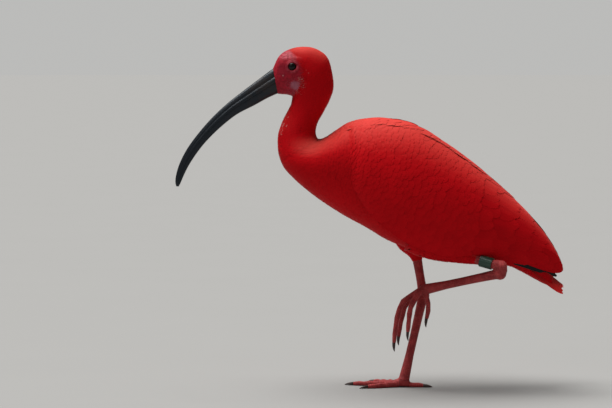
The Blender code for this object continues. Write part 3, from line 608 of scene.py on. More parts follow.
class Vane:
    """The pattern of one kind of feather, as shares of its length and of half its width."""

    def __init__(self, rows, columns):
        self.points, self.faces = [], []
        end, edge = len(rows) - 1, len(columns) - 1
        grid = {}
        for r, (s, wide) in enumerate(rows):
            for c, a in enumerate(columns):
                rim = r == 0 or c in (0, edge)
                grid[r, c, 1] = self.add(s, a * wide, 0.0 if rim else 1 - abs(a))
                grid[r, c, 0] = grid[r, c, 1] if rim else self.add(s, a * wide, -0.5)
        for r in range(end):
            for c in range(edge):
                for layer in (1, 0):
                    a, b = grid[r, c, layer], grid[r, c + 1, layer]
                    d, e = grid[r + 1, c, layer], grid[r + 1, c + 1, layer]
                    self.face(layer, a, b, e)
                    self.face(layer, a, e, d)
        tip = self.add(1.0, 0.0, 0.0)
        for c in range(edge):
            for layer in (1, 0):
                self.face(layer, grid[end, c, layer], grid[end, c + 1, layer], tip)
        self.points = np.array(self.points, float)
        self.faces = np.array(self.faces, int)

    def add(self, s, a, height):
        self.points.append((s, a, height))
        return len(self.points) - 1

    def face(self, layer, a, b, c):
        if len({a, b, c}) == 3:
            self.faces.append((a, b, c) if layer == 0 else (a, c, b))


def feather_object(name, parts):
    """One mesh of all the feathers in parts, each part a tuple of arrays from grow()."""
    points = np.concatenate([p[0] for p in parts])
    starts = np.cumsum([0] + [len(p[0]) for p in parts[:-1]])
    faces = np.concatenate([p[1] + start for p, start in zip(parts, starts)])
    numbers = np.concatenate([p[2] for p in parts])
    maps = np.concatenate([p[3] for p in parts])
    mesh = bpy.data.meshes.new(name)
    mesh.vertices.add(len(points))
    mesh.vertices.foreach_set("co", points.astype(np.float32).ravel())
    mesh.loops.add(len(faces) * 3)
    mesh.loops.foreach_set("vertex_index", faces.astype(np.int32).ravel())
    mesh.polygons.add(len(faces))
    mesh.polygons.foreach_set("loop_start", np.arange(len(faces), dtype=np.int32) * 3)
    mesh.update(calc_edges=True)
    corner = faces.ravel()
    for label, columns in (("OFBake", slice(0, 2)), ("vane", slice(2, 4))):
        layer = mesh.uv_layers.new(name=label)
        layer.data.foreach_set("uv", maps[corner][:, columns].astype(np.float32).ravel())
    for k, label in enumerate(("tone", "reach", "pale")):
        attribute = mesh.attributes.new(label, "FLOAT", "POINT")
        attribute.data.foreach_set("value", numbers[:, k].astype(np.float32))
    mesh.shade_smooth()
    mesh.set_sharp_from_angle(angle=math.radians(55))
    mesh.uv_layers["OFBake"].active = True
    return new_object(name, mesh)


def grow(sheet, vane, u, v, length, width, turn, sink, rise, tone, chance, droop=0.0, tilt=0.0, bend=0.0,
         thick=0.1, pale=0.0, curve=1.0, loose=1.0):
    """Feathers on a sheet, from their roots at u and v. Lengths are in mm and turns in radians.

    They lie sink over the sheet at the root and rise at the tip, and a loose one has uneven edges.
    """
    count = len(u)
    u, v, length, width, turn, sink, rise, tone, droop, tilt, bend, pale, thick = (
        np.broadcast_to(np.asarray(x, float), (count,)).copy()
        for x in (u, v, length, width, turn, sink, rise, tone, droop, tilt, bend, pale, thick)
    )
    root = np.stack([u, v % 1.0 if sheet.ring else v], -1)
    normal, ahead = sheet.facing(u, v)
    aside = np.cross(normal, ahead)
    ahead = ahead * np.cos(turn)[:, None] + aside * np.sin(turn)[:, None]
    track = [(u, v, ahead)]
    for _ in range(MARCH):
        aside = np.cross(normal, ahead)
        ahead = unit(ahead + aside * (bend / MARCH)[:, None])
        u, v = sheet.slide(u, v, ahead * (length / MARCH * MM)[:, None])
        normal = unit(sheet.read(sheet.normals, u, v))
        ahead = unit(ahead - normal * dot(ahead, normal)[:, None])
        track.append((u, v, ahead))
    track_u, track_v, heading = (np.stack([step[k] for step in track], 1) for k in range(3))
    s, a, height = vane.points.T
    s, a = s[None] * np.ones((count, 1)), a[None] * np.ones((count, 1))
    ragged = chance.normal(0, 1, s.shape)
    a = a * (1 + 0.05 * loose * ragged)
    s = np.clip(s + (s > 0.5) * 0.02 * loose * ragged[:, ::-1], 0, 1.05)
    k = np.clip((s * MARCH).astype(int), 0, MARCH - 1)
    f = s * MARCH - k
    rows = np.arange(count)[:, None]
    here_u = track_u[rows, k] * (1 - f) + track_u[rows, k + 1] * f
    here_v = track_v[rows, k] * (1 - f) + track_v[rows, k + 1] * f
    along = unit(heading[rows, k] * (1 - f)[..., None] + heading[rows, k + 1] * f[..., None])
    normal = unit(sheet.read(sheet.normals, here_u, here_v))
    aside = np.cross(normal, along)
    off = a * width[:, None] / 2
    here_u, here_v = sheet.slide(here_u, here_v, aside * (off * MM)[..., None])
    normal = unit(sheet.read(sheet.normals, here_u, here_v))
    lift = sink[:, None] + (rise - sink)[:, None] * s**curve + thick[:, None] * height[None]
    lift = lift - droop[:, None] * a**2 + tilt[:, None] * a
    points = sheet.read(sheet.points, here_u, here_v) + normal * (lift * MM)[..., None]
    size = len(vane.points)
    faces = (vane.faces[None] + (np.arange(count) * size)[:, None, None]).reshape(-1, 3)
    numbers = np.stack([tone[:, None] + 0 * s, s, pale[:, None] + 0 * s], -1).reshape(-1, 3)
    patches = root[:, None] * 0.96 + 0.02 + np.stack([a, s * 2 - 1], -1) * PATCH
    own = np.stack([off / 10, s * length[:, None] / 10], -1)
    return points.reshape(-1, 3), faces, numbers, np.concatenate([patches, own], -1).reshape(-1, 4)


def crowded(place, gap, taken, levels):
    """Whether a taken root lies within the gap. Each is kept in a cube of a size to suit its own gap."""
    for level in levels:
        size = 2.0 ** (level + 1)
        low = np.floor((place - gap) / size).astype(int)
        high = np.floor((place + gap) / size).astype(int)
        if (high - low).max() > 4:  # far smaller feathers are passed over
            continue
        for i in range(low[0], high[0] + 1):
            for j in range(low[1], high[1] + 1):
                for k in range(low[2], high[2] + 1):
                    for q in taken.get((level, i, j, k), ()):
                        x, y, z = place[0] - q[0], place[1] - q[1], place[2] - q[2]
                        if x**2 + y**2 + z**2 < gap * gap:
                            return True
    return False


def scatter(sheet, spacing, keep, chance, steps=(220, 120)):
    """Roots spread over a sheet. Their spacing in mm and the chance to keep them vary from place to place."""
    rows, columns = steps
    u, v = np.meshgrid((np.arange(rows) + 0.5) / rows, (np.arange(columns) + 0.5) / columns, indexing="ij")
    u, v = u.ravel(), v.ravel()
    area = np.linalg.norm(np.cross(sheet.read(sheet.along_u, u, v), sheet.read(sheet.along_v, u, v)), axis=-1)
    area = area / (rows * columns) / MM**2
    expected = 2.6 * area / spacing(u, v) ** 2 * keep(u, v)
    count = chance.poisson(expected)
    u, v = np.repeat(u, count), np.repeat(v, count)
    u = u + (chance.random(len(u)) - 0.5) / rows
    v = v + (chance.random(len(v)) - 0.5) / columns
    order = chance.permutation(len(u))
    u, v = u[order], v[order]
    gap = 0.82 * spacing(u, v)
    places = sheet.read(sheet.points, u, v) / MM
    level = np.floor(np.log2(np.maximum(gap, 1e-3))).astype(int)
    levels = sorted(set(level.tolist()))
    taken, chosen = {}, []
    for n, place in enumerate(places):
        if not crowded(place, gap[n], taken, levels):
            cube = np.floor(place / 2.0 ** (level[n] + 1)).astype(int)
            taken.setdefault((int(level[n]), *cube.tolist()), []).append(place)
            chosen.append(n)
    return u[chosen], v[chosen]


DOWN = Vane(((0.0, 0.45), (0.35, 0.95), (0.7, 0.9), (0.92, 0.5)), (-1, 0, 1))
SOFT = Vane(((0.0, 0.4), (0.3, 0.88), (0.6, 1.0), (0.82, 0.86), (0.94, 0.55)), (-1, 0, 1))
# Length of the feathers in mm, by section number along the body.
LENGTHS = (
    (0, 1.5, 3, 5, 7, 9, 12, 14, 16, 18, 22, LAST),
    (1.4, 1.8, 2.8, 4.0, 5.2, 6.5, 7.4, 8.6, 10.5, 13.0, 16.0, 9.0),
)
HEAD_END, NECK_END = 7, 12  # section numbers
# A body feather is left out where a line outwards from COVER_FROM under the skin meets a wing within
# COVER_REACH, both in metres.
COVER_FROM, COVER_REACH = 0.004, 0.030

body_sheet = Sheet(body_grid(560, 180, 1.0), ring=True)
row = WING_ACROSS + 1  # points in a row of the wing's grid
wing_cells = [  # without the wing's rim, where the body's feathers show
    (i * row + j, i * row + j + 1, (i + 1) * row + j + 1, (i + 1) * row + j)
    for i in range(3, WING_STEPS - 6)
    for j in range(3, WING_ACROSS - 4)
]
wing_trees = {
    word: BVHTree.FromPolygons([tuple(p) for p in face.points.reshape(-1, 3)], wing_cells)
    for word, face in wing_face.items()
}


def under_wing(points, normals):
    """Which places a folded wing hides."""
    hidden = np.zeros(len(points), bool)
    for n, (point, normal) in enumerate(zip(points, normals)):
        tree = wing_trees["left" if point[1] < 0 else "right"]
        hit = tree.ray_cast(Vector(point) - Vector(normal) * COVER_FROM, Vector(normal), COVER_REACH)[0]
        hidden[n] = hit is not None
    return hidden


def face_edge(points):
    """How far, in mm, a point of the head lies behind the edge of the bare face."""
    x, z = points[..., 0] / MM, points[..., 2] / MM
    back = -104.5 - ((z - 322) / 26) ** 2 * 13 + 0.9 * np.sin(z * 0.85) + 0.6 * np.sin(z * 2.1 + x)
    return np.maximum(x - back, (295.5 - z + 0.8 * np.sin(x * 1.1)) * 1.4)


def body_length(u):
    return np.interp(u * LAST, *LENGTHS)


def body_spacing(u, v):
    t = u * LAST
    return body_length(u) * np.interp(t, (0, HEAD_END, NECK_END, 18, LAST), (0.23, 0.17, 0.18, 0.155, 0.145))


def feathered(u, v):
    """The chance of a feather: less near the bare face, and none over the root of the tail."""
    points = body_sheet.read(body_sheet.points, u, v)
    near = blend(-4.0, 1.5, face_edge(points)) ** 2
    rear = blend(LAST - 0.9, LAST - 1.9, u * LAST)
    return np.where(u * LAST < HEAD_END, np.where(face_edge(points) < 0.5, near * 0.5, 1.0), rear)


chance = np.random.default_rng(5)
root_u, root_v = scatter(body_sheet, body_spacing, feathered, chance)
root_points = body_sheet.read(body_sheet.points, root_u, root_v)
root_normals = body_sheet.read(body_sheet.normals, root_u, root_v)
shown = ~under_wing(root_points, root_normals)
root_u, root_v, root_points = root_u[shown], root_v[shown], root_points[shown]
root_t = root_u * LAST


def feather_finish(name, deep, bright, tip, painted_sky_highlight=0.6, sheen=0.20, specular=0.04, rough=0.55):
    """Fine barbs run out from a feather's shaft, with a soft sheen and a painted pinkish highlight where they
    face the sky.
    """
    finish = Finish(
        name, Sheen_Weight=sheen, Sheen_Roughness=0.28, Sheen_Tint=(1.0, 0.42, 0.38, 1.0),
        Specular_IOR_Level=specular,
    )
    tone, reach, pale = finish.number("tone"), finish.number("reach"), finish.number("pale")
    across, along, _ = finish.axes(finish.node("ShaderNodeUVMap", {"uv_map": "vane"}, {}))
    away = across.calculate("ABSOLUTE")
    grain = finish.noise(260.0, 3.0)
    cloud = finish.noise(28.0, 2.0)
    barb = ((along - away * 0.9 + (grain - 0.5) * 0.03) * 150).calculate("SINE") * 0.5 + 0.5
    shaft = away.step(0.045, 0.012)
    colour = finish.mix((tone + (cloud - 0.5) * 0.9).clamped(), deep, bright)
    colour = finish.mix(reach.step(0.6, 1.0) * 0.35, colour, tip)
    colour = finish.mix(barb * 0.14, colour, deep)
    # Painted highlight: where a feather faces up, its colour is mixed towards a pale pinkish red in place of
    # the sky's light on the head and back.
    upwards = finish.axes(finish.node("ShaderNodeNewGeometry", {}, {}, "Normal"))[2]
    colour = finish.mix(upwards.step(0.30, 1.0) * painted_sky_highlight, colour, (0.66, 0.085, 0.065))
    streak = pale.step(0.0, 1.0) * away.step(0.08, 0.02) * 0.6 + pale.step(1.1, 2.0) * 0.9
    colour = finish.mix(streak.clamped(), colour, (0.60, 0.22, 0.21))
    finish.feed(
        Base_Color=colour,
        Roughness=rough + barb * 0.08 + grain * 0.1 - shaft * 0.1,
        Normal=finish.bump(barb * 0.5 + shaft * 0.3 + grain * 0.3, 0.00006, 0.45),
    )
    return finish


scarlet = feather_finish(
    "scarlet_feather", deep=(0.40, 0.0016, 0.0050), bright=(0.58, 0.0024, 0.0070), tip=(0.64, 0.006, 0.009)
)


def settle(piece, finish, slot, *nodes):
    """Gives a finished piece its material and its place in the model, and hides the solids it replaces. The
    slot is not used.
    """
    piece.data.materials.clear()
    piece.data.materials.append(finish.material)
    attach(piece, "root")
    if nodes:
        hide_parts(*nodes)


def red_plumage(name, parts):
    settle(feather_object(name, parts), scarlet, "scarlet_feather")


def body_feathers(name, chosen, vane, share_of_width, rise):
    """Grows the chosen body feathers as one piece. The throat and temple have pale ones among the red."""
    part = np.nonzero(chosen)[0]
    u, v, t, places = root_u[part], root_v[part], root_t[part], root_points[part] / MM
    count = len(part)
    edge = blend(-2, 7, face_edge(places * MM))
    young = np.where(t < HEAD_END, 0.5 + 0.5 * edge, 1.0)
    length = body_length(u) * chance.uniform(0.85, 1.1, count) * young
    depth = np.interp(t, *COAT_DEPTH)
    throat = np.hypot((places[:, 0] + 126) / 9, (places[:, 2] - 281) / 17)
    temple = np.hypot((places[:, 0] + 101) / 7, (places[:, 2] - 326) / 7)
    share = 0.34 * blend(1.15, 0.5, throat) + 0.02 * blend(1.1, 0.4, temple) * (t < HEAD_END)
    pale = np.where(chance.random(count) < share, chance.uniform(0.7, 1.3, count), 0.0)
    made = grow(
        body_sheet, vane, u, v, length, length * share_of_width, turn=chance.normal(0, 0.05, count),
        sink=-0.2, rise=rise * depth * chance.uniform(0.97, 1.03, count),
        tone=chance.uniform(0.3, 0.7, count), chance=chance, droop=0.005 * length, thick=0.006 * length,
        bend=chance.normal(0, 0.06, count), pale=pale, curve=0.85, loose=0.8,
    )
    red_plumage(name, [made])


right_side = (root_v > 0) & (root_v < 0.5)
on_head, on_trunk = root_t < HEAD_END, root_t >= NECK_END
body_feathers("head_feathers_left", on_head & ~right_side, DOWN, 0.46, 0.9)
body_feathers("head_feathers_right", on_head & right_side, DOWN, 0.46, 0.9)
body_feathers("neck_feathers", ~on_head & ~on_trunk, DOWN, 0.46, 0.9)
body_feathers("breast_feathers_left", on_trunk & ~right_side, SOFT, 0.6, 0.72)
body_feathers("breast_feathers_right", on_trunk & right_side, SOFT, 0.6, 0.72)

thigh_feathers = []
for path in THIGHS.values():
    thigh_sheet = Sheet(tube_grid(path, 60, 48, THIGH_INSET), ring=True)
    outwards = thigh_sheet.points[30, 0] - thigh_sheet.points[30, 24]
    thigh_sheet.normals *= np.sign(dot(thigh_sheet.normals[30, 0], outwards))
    u, v = scatter(thigh_sheet, lambda u, v: 2.3 - 1.1 * u, lambda u, v: 1.0 + 0 * u, chance, (60, 40))
    count = len(u)
    length = (12.0 - 5.5 * u) * chance.uniform(0.85, 1.1, count)
    thigh_feathers.append(grow(
        thigh_sheet, SOFT, u, v, length, length * 0.5, turn=chance.normal(0, 0.1, count), sink=-0.3,
        rise=1.5 - 0.8 * u, tone=chance.uniform(0.2, 0.8, count), chance=chance, droop=0.015 * length,
        thick=0.012 * length, bend=chance.normal(0, 0.1, count),
    ))
red_plumage("thigh_feathers", thigh_feathers)


# Cheek bristles.
# Fine pale bristles on the bare cheek below the eye, which fan out backwards from its lilac patch.
# Each is a very narrow feather rooted in the skin.
chance = np.random.default_rng(13)
bristles = []
for side in (-1, 1):
    count = 90
    bearing = chance.uniform(-1.3, 1.1, count)
    away = 3.2 + 6.3 * np.sqrt(chance.random(count))
    wanted = np.stack([-113.5 + away * np.cos(bearing), 311.5 + 0.9 * away * np.sin(bearing)], -1)
    wanted = wanted + chance.normal(0, 0.7, (count, 2))
    bearing = 0.75 * bearing + chance.normal(0, 0.25, count)
    cheek_u, cheek_v = np.meshgrid(np.linspace(0.02, 0.24, 90), np.linspace(0, 1, 181)[1:-1], indexing="ij")
    cheek_u, cheek_v = cheek_u.ravel(), cheek_v.ravel()
    spots = body_sheet.read(body_sheet.points, cheek_u, cheek_v) / MM
    apart = np.hypot(spots[None, :, 0] - wanted[:, :1], spots[None, :, 2] - wanted[:, 1:])
    nearest = (apart + 100 * (spots[None, :, 1] * side < 2)).argmin(1)
    u, v = cheek_u[nearest], cheek_v[nearest]
    heading = np.stack([np.cos(bearing), 0 * bearing, np.sin(bearing)], -1)
    normal, ahead = body_sheet.facing(u, v)
    turn = np.arctan2(dot(heading, np.cross(normal, ahead)), dot(heading, ahead))
    turn = turn + chance.normal(0, 0.15, count)
    length, width = chance.uniform(2.2, 4.2, count), chance.uniform(0.16, 0.28, count)
    bristles.append(grow(
        body_sheet, DOWN, u, v, length, width, turn=turn, sink=-0.1, rise=chance.uniform(0.35, 0.8, count),
        tone=chance.uniform(0.3, 0.7, count), chance=chance, thick=0.06, bend=chance.normal(0, 0.2, count),
        pale=np.where(chance.random(count) < 0.7, chance.uniform(1.3, 1.8, count), 0.0),
    ))
red_plumage("cheek_bristles", bristles)


# Wing feathers.
# The folded wings: rows of small coverts over the arm, then larger ones, then the long flight
# feathers whose edges lie under each other, and over their roots the scapulars of the shoulder.
COVERT = Vane(
    ((0.0, 0.45), (0.3, 0.88), (0.58, 1.0), (0.76, 0.97), (0.88, 0.82), (0.95, 0.60), (0.99, 0.32)),
    (-1, -0.5, 0, 0.5, 1),
)
FLIGHT = Vane(
    (
        (0.0, 0.5), (0.1, 0.8), (0.22, 0.93), (0.34, 1.0), (0.46, 1.0), (0.58, 1.0), (0.7, 0.98), (0.8, 0.92),
        (0.88, 0.8), (0.94, 0.6), (0.98, 0.35),
    ),
    (-1, -0.5, -0.08, 0.08, 0.5, 1),
)
POINTED = Vane(
    (
        (0.0, 0.4), (0.2, 0.85), (0.4, 1.0), (0.6, 0.97), (0.76, 0.84), (0.88, 0.62), (0.95, 0.40),
        (0.985, 0.2),
    ),
    (-1, -0.5, 0, 0.5, 1),
)


def tier(face, side, vane, tips, lengths, width, rise, chance, sink, tilt=0.09, pale=0.0):
    """A row of wing feathers from the places of their tips, each root a feather's length ahead of its tip."""
    tip_u, tip_v = tips
    count = len(tip_u)
    lengths = lengths * chance.uniform(0.96, 1.04, count)
    u, v = tip_u.copy(), tip_v.copy()
    steps = 12
    for _ in range(steps):
        forwards = -unit(face.read(face.along_u, u, v))
        u, v = face.slide(u, v, forwards * (lengths / steps * MM)[:, None])
    return grow(
        face, vane, u, v, lengths, width, turn=chance.normal(0, 0.015, count), sink=sink,
        rise=rise + chance.uniform(-0.02, 0.02, count), tone=chance.uniform(0.3, 0.7, count), chance=chance,
        droop=0.03, tilt=side * tilt, thick=0.08, pale=pale, loose=0.35,
    )


def across_wing(u):
    """How far, in mm, the folded wing's face runs from its top edge to its lower edge."""
    return np.interp(u, (0, 0.1, 0.3, 0.6, 0.8, 0.95, 1), (55, 95, 130, 105, 70, 25, 8))


def wing_row(tip_u, slope, width, chance, wander, loose):
    """Places of the tips in one row, from the top edge of the wing to the end of the red feathers."""
    count = max(3, int(round(across_wing(tip_u) / (width * 0.5)))) + 1  # each hides half of the next
    share = np.arange(count) + chance.random() - 0.5 + chance.uniform(-wander, wander, count)
    share = np.clip(share / (count - 1), 0, 1)
    u = tip_u - slope * share + chance.uniform(-0.5, 0.5, count) * loose
    edge = np.minimum(0.36 * width / across_wing(u), 0.40)
    top = edge * (0.3 + 0.7 * blend(0.55, 0.8, u))
    low = edge * (1.0 - 0.72 * blend(0.55, 0.9, u))
    return u, top + (red_limit(u) - low - top) * share


# The last red feathers lie along the lower edge and round off the wing's tip, on a sheet of their own.
# Their ends are placed in mm along the edge from TIP_START, and square to it.
TIP_START, TIP_AHEAD, TIP_UP = np.array((109.2, 133.7)), np.array((0.935, -0.354)), np.array((0.354, 0.935))
TIP_FIRST, TIP_LAST, TIP_HIGH, TIP_LOW = -14, 66, 26, -4
TIP_ENDS = np.array([(58.4, 6.0), (57.0, 10.8), (50.5, 16.2), (47.0, 6.2), (40.0, 12.0)])
TIP_LENGTHS = np.array([58.0, 54.0, 48.0, 50.0, 44.0])
TIP_RISE = np.array([0.7, 0.95, 1.05, 1.0, 1.25])
TIP_HALF = (  # x, and how far out their sheet lies there: at its lower edge and 12 mm up, in mm
    (96.0, 110.0, 122.0, 133.0, 144.0, 151.0, 158.0, 163.0, 167.0, 172.0),
    (27.5, 24.0, 21.0, 17.5, 13.5, 11.2, 8.2, 5.6, 3.0, 1.2),
    (35.5, 31.0, 27.0, 22.5, 17.5, 14.0, 10.0, 7.0, 4.0, 1.5),
)
FLIGHT_ROWS = (  # u of the tips, slope of the row, length, width and height over the core, in mm
    (0.985, 0.010, 80.0, 10.0, 1.2), (0.97, 0.02, 80.0, 12.0, 1.25), (0.935, 0.03, 80.0, 13.0, 1.3),
    (0.89, 0.035, 80.0, 15.0, 1.35), (0.825, 0.035, 76.0, 16.0, 1.4), (0.755, 0.04, 70.0, 16.5, 1.4),
    (0.685, 0.04, 64.0, 16.5, 1.45), (0.62, 0.04, 56.0, 16.0, 1.45),
)
COVERT_ROWS = 28
for word, side in (("left", -1), ("right", 1)):
    across = np.linspace(TIP_HIGH, TIP_LOW, 25)
    along, up = np.meshgrid(np.linspace(TIP_FIRST, TIP_LAST, 61), across, indexing="ij")
    tip_x = TIP_START[0] + TIP_AHEAD[0] * along + TIP_UP[0] * up
    tip_z = TIP_START[1] + TIP_AHEAD[1] * along + TIP_UP[1] * up
    low, high = (np.interp(tip_x, TIP_HALF[0], row) for row in TIP_HALF[1:])
    tip_y = low + (high - low) * blend(0, 12, up)
    tip_sheet = Sheet(np.stack([tip_x, side * tip_y, tip_z], -1) * MM, outward=side)
    root_u = (TIP_ENDS[:, 0] - TIP_LENGTHS - TIP_FIRST) / (TIP_LAST - TIP_FIRST)
    root_v = (TIP_HIGH - TIP_ENDS[:, 1]) / (TIP_HIGH - TIP_LOW)
    flights = [grow(
        tip_sheet, FLIGHT, root_u, root_v, TIP_LENGTHS, 12.6, turn=0.0, sink=-1.6, rise=TIP_RISE, tone=0.5,
        chance=np.random.default_rng(29), droop=0.03, tilt=side * 0.09, thick=0.08, loose=0.2,
    )]
    # Long flight feathers in rows, the secondaries below and the tertials over them.
    face = wing_face[word]
    chance = np.random.default_rng(23)
    for tip_u, slope, length, width, rise in FLIGHT_ROWS:
        tips = wing_row(tip_u, slope, width, chance, 0.12, 0.026 if tip_u < 0.97 else 0.012)
        flights.append(tier(face, side, FLIGHT, tips, length, width, rise, chance, sink=0.3))
    # Coverts in rows, small at the front edge of the wing and larger behind.
    coverts = []
    for n in range(COVERT_ROWS):
        share = n / (COVERT_ROWS - 1)
        tip_u = 0.565 - 0.53 * share
        width, length = 15.0 - 7.5 * share, 40.0 - 27.0 * share**0.8
        tips = wing_row(tip_u, 0.035 * (1 - share) + 0.01, width, chance, 0.25, 0.018)
        sink = 0.55 if n < COVERT_ROWS - 3 else -0.2  # the foremost rows are rooted in the wing's edge
        coverts.append(tier(face, side, COVERT, tips, length, width, 1.5, chance, tilt=0.06, sink=sink))
    # Scapulars, long and pointed, over the upper edge of the wing. One shows its pale shaft.
    count = 48
    share = np.arange(count) / (count - 1)
    down = (np.arange(count) * 0.618) % 1.0
    u = 0.67 - 0.50 * share + chance.uniform(-0.008, 0.008, count)
    v = 0.015 + (0.125 - 0.02 * share) * down
    pale = np.where(np.arange(count) == 14, 1.0, 0.0)
    lift = 1.58 + 0.35 * (1 - down)
    length, width = 58.0 - 32 * share, 11.5 - 3.0 * share
    coverts.append(tier(face, side, POINTED, (u, v), length, width, lift, chance, sink=0.5, pale=pale))
    # Loose tufts over the shoulder joint that stand a little off and catch the light, with a high tone that
    # paints a highlight on them.
    count = 120
    u = chance.uniform(0.035, 0.12, count)
    v = 0.03 + 0.15 * chance.random(count)
    coverts.append(grow(
        face, SOFT, u, v, chance.uniform(7, 11, count), 4.5,
        turn=side * -0.35 + chance.normal(0, 0.12, count), sink=0.6, rise=1.95,
        tone=chance.uniform(0.8, 1.2, count), chance=chance, droop=0.06, thick=0.08,
    ))
    red_plumage(f"{word}_wing_coverts", coverts)
    red_plumage(f"{word}_flight_feathers", flights)


# Mantle.
# Soft feathers of the back that run from the foot of the neck over the upper edges of both wings,
# so that the folded wings meet the back without a step.
# x and half width, in mm.
MANTLE = ((-71, 15.0), (-58, 23.0), (-35, 24.0), (-5, 21.0), (30, 16.0), (60, 12.0), (84, 9.0))
OVER_BACK = 0.30  # a height in metres above every part of the back
skin_tree = BVHTree.FromObject(skin, bpy.context.evaluated_depsgraph_get())
mantle_x = np.linspace(MANTLE[0][0], MANTLE[-1][0], 100)
mantle_x, mantle_share = np.meshgrid(mantle_x, np.linspace(-1, 1, 41), indexing="ij")
mantle_y = mantle_share * np.interp(mantle_x, *zip(*MANTLE))
mantle_z = np.empty_like(mantle_x)
for index in np.ndindex(mantle_x.shape):
    above = Vector((mantle_x[index] * MM, mantle_y[index] * MM, OVER_BACK))
    mantle_z[index] = skin_tree.ray_cast(above, Vector((0, 0, -1)))[0].z / MM
for _ in range(60):  # bridges the cleft between the wings and the step at their front edges
    flat = mantle_z.copy()
    flat[1:-1] = (mantle_z[:-2] + mantle_z[2:] + 2 * mantle_z[1:-1]) / 4
    flat[:, 1:-1] = (flat[:, :-2] + flat[:, 2:] + 2 * flat[:, 1:-1]) / 4
    mantle_z = np.maximum(flat, mantle_z - 0.02)
mantle_sheet = Sheet(np.stack([mantle_x, mantle_y, mantle_z], -1) * MM)
chance = np.random.default_rng(53)
u, v = scatter(
    mantle_sheet, lambda u, v: 1.7 + 0.7 * u, lambda u, v: np.where(u < 0.9, 1.0, 0.0), chance, (120, 50)
)
count = len(u)
length = (10.0 + 12.0 * blend(0.0, 0.5, u)) * chance.uniform(0.88, 1.08, count)
mantle = grow(
    mantle_sheet, SOFT, u, v, length, length * 0.5, turn=chance.normal(0, 0.05, count), sink=0.3,
    rise=0.9 + 1.2 * blend(0.0, 0.15, u) * chance.uniform(0.97, 1.03, count),
    tone=chance.uniform(0.35, 0.75, count), chance=chance, droop=0.06, thick=0.09,
    bend=chance.normal(0, 0.05, count), loose=0.8,
)
red_plumage("mantle_feathers", [mantle])


# Primaries.
# The outer flight feathers are black. Folded, they show as a narrow dark strip under the red ones,
# along the lower rear edge of each wing.
black = feather_finish(
    "black_feather", (0.0022, 0.0018, 0.0018), (0.0045, 0.0035, 0.0035), (0.006, 0.004, 0.004),
    painted_sky_highlight=0.0, sheen=0.02, specular=0.2, rough=0.4,
)
PRIMARY_LINE = np.array([  # the middle of the strip on the left side, in mm
    (86.0, -28.2, 139.8), (110.0, -23.4, 131.5), (128.0, -18.4, 125.2), (147.0, -11.6, 118.6),
    (163.5, -4.4, 113.0),
])
for word, side in (("left", -1), ("right", 1)):
    places = along_rows(PRIMARY_LINE, np.linspace(0, len(PRIMARY_LINE) - 1, 41)) * (1, -side, 1)
    ahead = unit(np.gradient(places, axis=0))
    above = unit(np.stack([-ahead[:, 2], 0 * ahead[:, 0], ahead[:, 0]], -1))
    across = np.linspace(4.0, -4.0, 9)
    strip = Sheet((places[:, None] + above[:, None] * across[:, None]) * MM, outward=side)
    chance = np.random.default_rng(31)
    share = np.linspace(0, 1, 5)
    length, width = 79.5 - 11.0 * share, 6.8 - 0.6 * share
    made = grow(
        strip, FLIGHT, 0.02 + 0.02 * share, 0.5 + 0.10 * (share - 0.5), length, width, turn=0.0,
        sink=-0.5 * share, rise=0.2 - 0.5 * share, tone=0.5, chance=chance, droop=0.1, thick=0.12, loose=0.2,
    )
    settle(feather_object(f"{word}_primary_feathers", [made]), black, "black_feather", f"{word}_primaries")


# Tail.
# Twelve stiff feathers in a low arch under the tips of the wings, where the rump's feathers end
# over their roots. The outer ones are the longest and lie lowest.
FAN_ROOT, FAN_TIP = np.array((118.4, 0.0, 141.0)), np.array((165.4, 0.0, 102.6))
FAN_HALF_WIDTH, FAN_DROP = 15.5, 7.5
along, across = np.meshgrid(np.linspace(0, 1, 41), np.linspace(-1, 1, 41), indexing="ij")
ahead = unit(FAN_TIP - FAN_ROOT)
up = np.array((-ahead[2], 0.0, ahead[0]))
spread = 0.72 + 0.28 * along
fall = FAN_DROP * across**2 * (0.8 + 0.2 * along)
centre = FAN_ROOT + (FAN_TIP - FAN_ROOT) * along[..., None] + ahead * (2.5 * across**2 * along)[..., None]
sideways = np.stack([0 * across, across * FAN_HALF_WIDTH * spread, 0 * across], -1)
fan = Sheet((centre - up * fall[..., None] + sideways) * MM)
chance = np.random.default_rng(41)
count = 12
across = np.linspace(-1, 1, count)
outer = np.abs(across)
length = 48.0 + 3.0 * outer**2 + chance.uniform(-1, 1, count)
tail = grow(
    fan, POINTED, 0.16 + 0 * across, 0.5 + 0.40 * across, length, 11.0, turn=0.03 * across,
    sink=0.2 + 0.9 * (1 - outer), rise=0.5 + 1.3 * (1 - outer), tone=chance.uniform(0.3, 0.7, count),
    chance=chance, droop=0.1, tilt=-0.15 * np.sign(across), thick=0.2, loose=0.25,
)
red_plumage("tail_feathers", [tail])


# Bill.
# Long, curved down, of dark horn: a deep upper half with a groove along each side that starts at
# the nostril, and a thinner lower half that closes against it.
BILL = np.array([  # sections in mm: ridge x and z, lower edge x and z, half width
    (-130.5, 328.6, -127.0, 304.6, 6.6),
    (-135.1, 328.2, -130.2, 303.0, 7.6),
    (-150.4, 317.0, -140.1, 298.5, 6.3),
    (-164.3, 306.6, -154.0, 290.9, 5.5),
    (-181.3, 293.3, -172.0, 281.5, 4.8),
    (-197.8, 277.9, -188.5, 268.6, 4.3),
    (-212.2, 261.4, -203.4, 254.0, 3.9),
    (-223.2, 246.3, -213.7, 241.1, 3.5),
    (-230.7, 231.9, -221.8, 228.6, 3.1),
    (-234.5, 220.2, -226.9, 218.4, 2.7),
    (-235.5, 212.2, -229.8, 211.6, 2.1),
    (-234.6, 207.5, -232.0, 207.4, 0.9),
])
MOUTH = 0.57  # share of the depth above the line of the mouth
